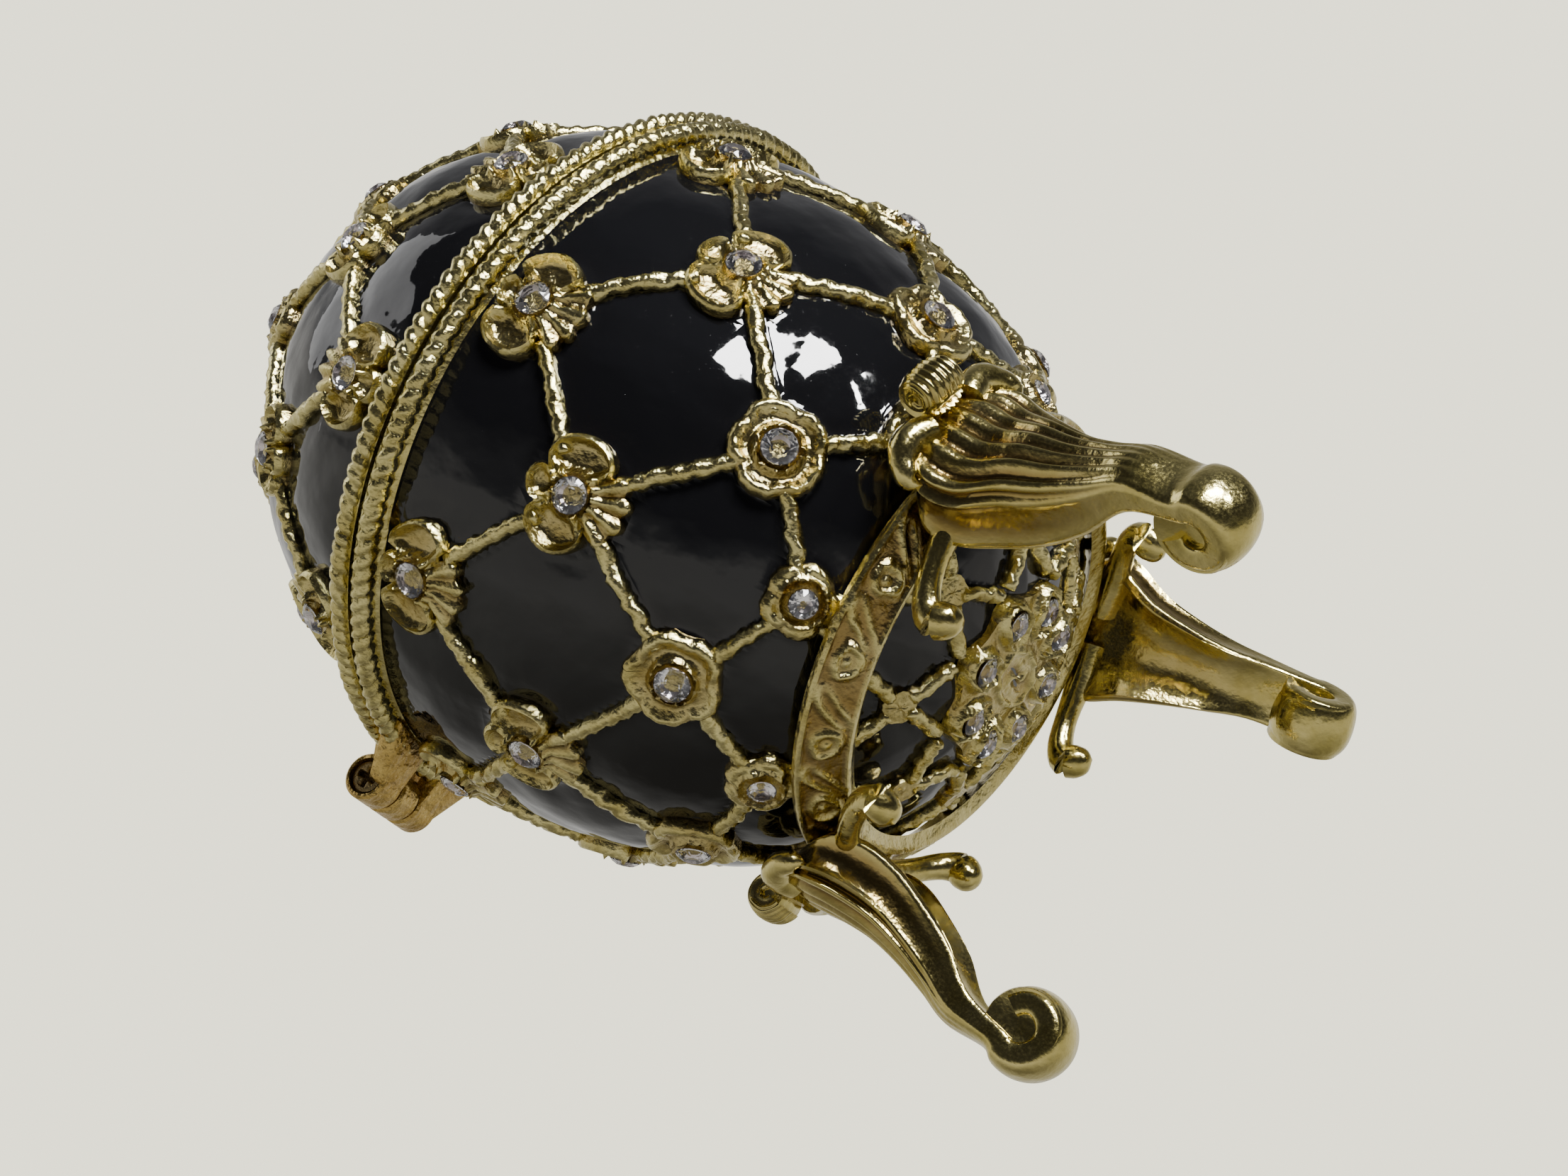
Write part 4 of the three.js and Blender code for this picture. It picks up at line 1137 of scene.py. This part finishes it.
def around(centre, start, stop, radii, thickness, widths, flute):
    """Knots of a strap that rolls round a centre, angles in degrees from outwards."""
    knots = []
    steps = 11
    for k in range(steps + 1):
        t = k / steps
        angle = math.radians(start + (stop - start) * t)
        outer = radii[0] + (radii[1] - radii[0]) * t
        inner = max(0.05, outer - thickness)
        knots.append((centre[0] + outer * math.cos(angle), centre[1] + outer * math.sin(angle),
                      centre[0] + inner * math.cos(angle), centre[1] + inner * math.sin(angle),
                      widths[0] + (widths[1] - widths[0]) * t, flute, 0))
    return knots


def dished_roll(bm, azimuth, centre, radius, width, dish):
    """The roll inside a scroll: a drum, width to either side of its middle, dished at both ends."""
    profile = [(0, width - dish), (radius * 0.35, width - dish * 0.9), (radius * 0.75, width - dish * 0.3),
               (radius * 0.95, width), (radius, width - 0.15)]
    profile += [(r, -w) for r, w in profile[::-1]]
    corners = [bm.verts.new(on_leg(azimuth, centre[0] + r, w, centre[1])) for r, w in profile]
    edges = [bm.edges.new(pair) for pair in zip(corners, corners[1:])]
    bmesh.ops.spin(bm, geom=corners + edges, cent=on_leg(azimuth, centre[0], 0, centre[1]),
                   axis=on_leg(azimuth, 0, 1, 0), angle=2 * math.pi, steps=40, use_merge=True)


def arm(bm, hollow_shade_and_tarnish, knots):
    """A round tapering arm through knots of x, y, z, radius."""
    def place(u, v):
        here = curve_through(knots, u)
        ahead = curve_through(knots, min(1, u + 0.02)) - curve_through(knots, max(0, u - 0.02))
        way = Vector(ahead[:3]).normalized()
        side = way.cross(Vector((0, 0, 1))).normalized()
        up = side.cross(way)
        turn = 2 * math.pi * v
        uneven = 0.06 * noise.noise(Vector((u * 6, math.cos(turn), math.sin(turn))))
        size = max(0, here[3]) * (1 + uneven)
        return Vector(here[:3]) + (side * math.cos(turn) + up * math.sin(turn)) * size, 0

    mapped_sheet(bm, hollow_shade_and_tarnish, 26, 18, place)


def leg(azimuth_degrees, reach, seed):
    azimuth = math.radians(azimuth_degrees)
    bm = bmesh.new()
    hollow_shade_and_tarnish = bm.verts.layers.float.new("hollow_shade_and_tarnish")
    foot, curl = FOOT_OUT + reach, CURL_OUT + 0.5 * reach
    stem = [
        (curl - 1.5, 19.9, 14.9, 19.2, 1.7, 0.10, 0.2),
        (curl - 0.9, 18.9, 14.2, 18.3, 3.4, 0.24, 0.3),
        (curl - 0.7, 17.4, 12.9, 16.9, 4.75, 0.34, 0.5),
        (curl - 0.8, 15.6, 12.2, 15.2, 4.5, 0.38, 0.75),
        (foot + 0.2, 13.4, 12.4, 13.2, 3.5, 0.38, 0.8),
        (foot + 0.6, 11.2, 13.3, 11.0, 2.8, 0.30, 0.8),
        (foot + 1.3, 9.0, 14.6 + 0.4 * reach, 8.6, 2.25, 0.17, 0.6),
        (foot + 2.0, 7.0, foot - 0.2, 6.3, 1.95, 0.05, 0.3),
    ]
    stem += around((foot, FOOT_RADIUS), 42, -236, (FOOT_RADIUS + 0.02, 2.45), 1.75, (1.92, 1.75), 0.0)
    strap(bm, hollow_shade_and_tarnish, azimuth, stem, 120, seed, crown=0.45)
    dished_roll(bm, azimuth, (foot, FOOT_RADIUS), 2.2, 1.72, 0.5)
    bud = around((curl, CURL_Z), 250, -80, (1.58, 1.4), 1.2, (1.3, 1.65), 0.16)
    strap(bm, hollow_shade_and_tarnish, azimuth, bud, 60, seed + 7)
    dished_roll(bm, azimuth, (curl, CURL_Z), 1.1, 1.45, 0.4)
    for side in (-1, 1):
        scroll = []
        for share, r, z, size in SIDE_SCROLL:
            at = azimuth + side * SIDE_TURN * share
            scroll.append((r * math.cos(at), r * math.sin(at), z, size))
        arm(bm, hollow_shade_and_tarnish, scroll)
        arm(bm, hollow_shade_and_tarnish, [(*on_leg(azimuth, curl + r, side * y, z), size) for y, r, z, size in SHOULDER])
    close_ends(bm)
    finished(bm, f"leg_{seed + 1}", "base", [gilt_smooth], 65)


for seed, (azimuth_degrees, reach) in enumerate(LEGS):
    leg(azimuth_degrees, reach, seed)
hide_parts("stand")
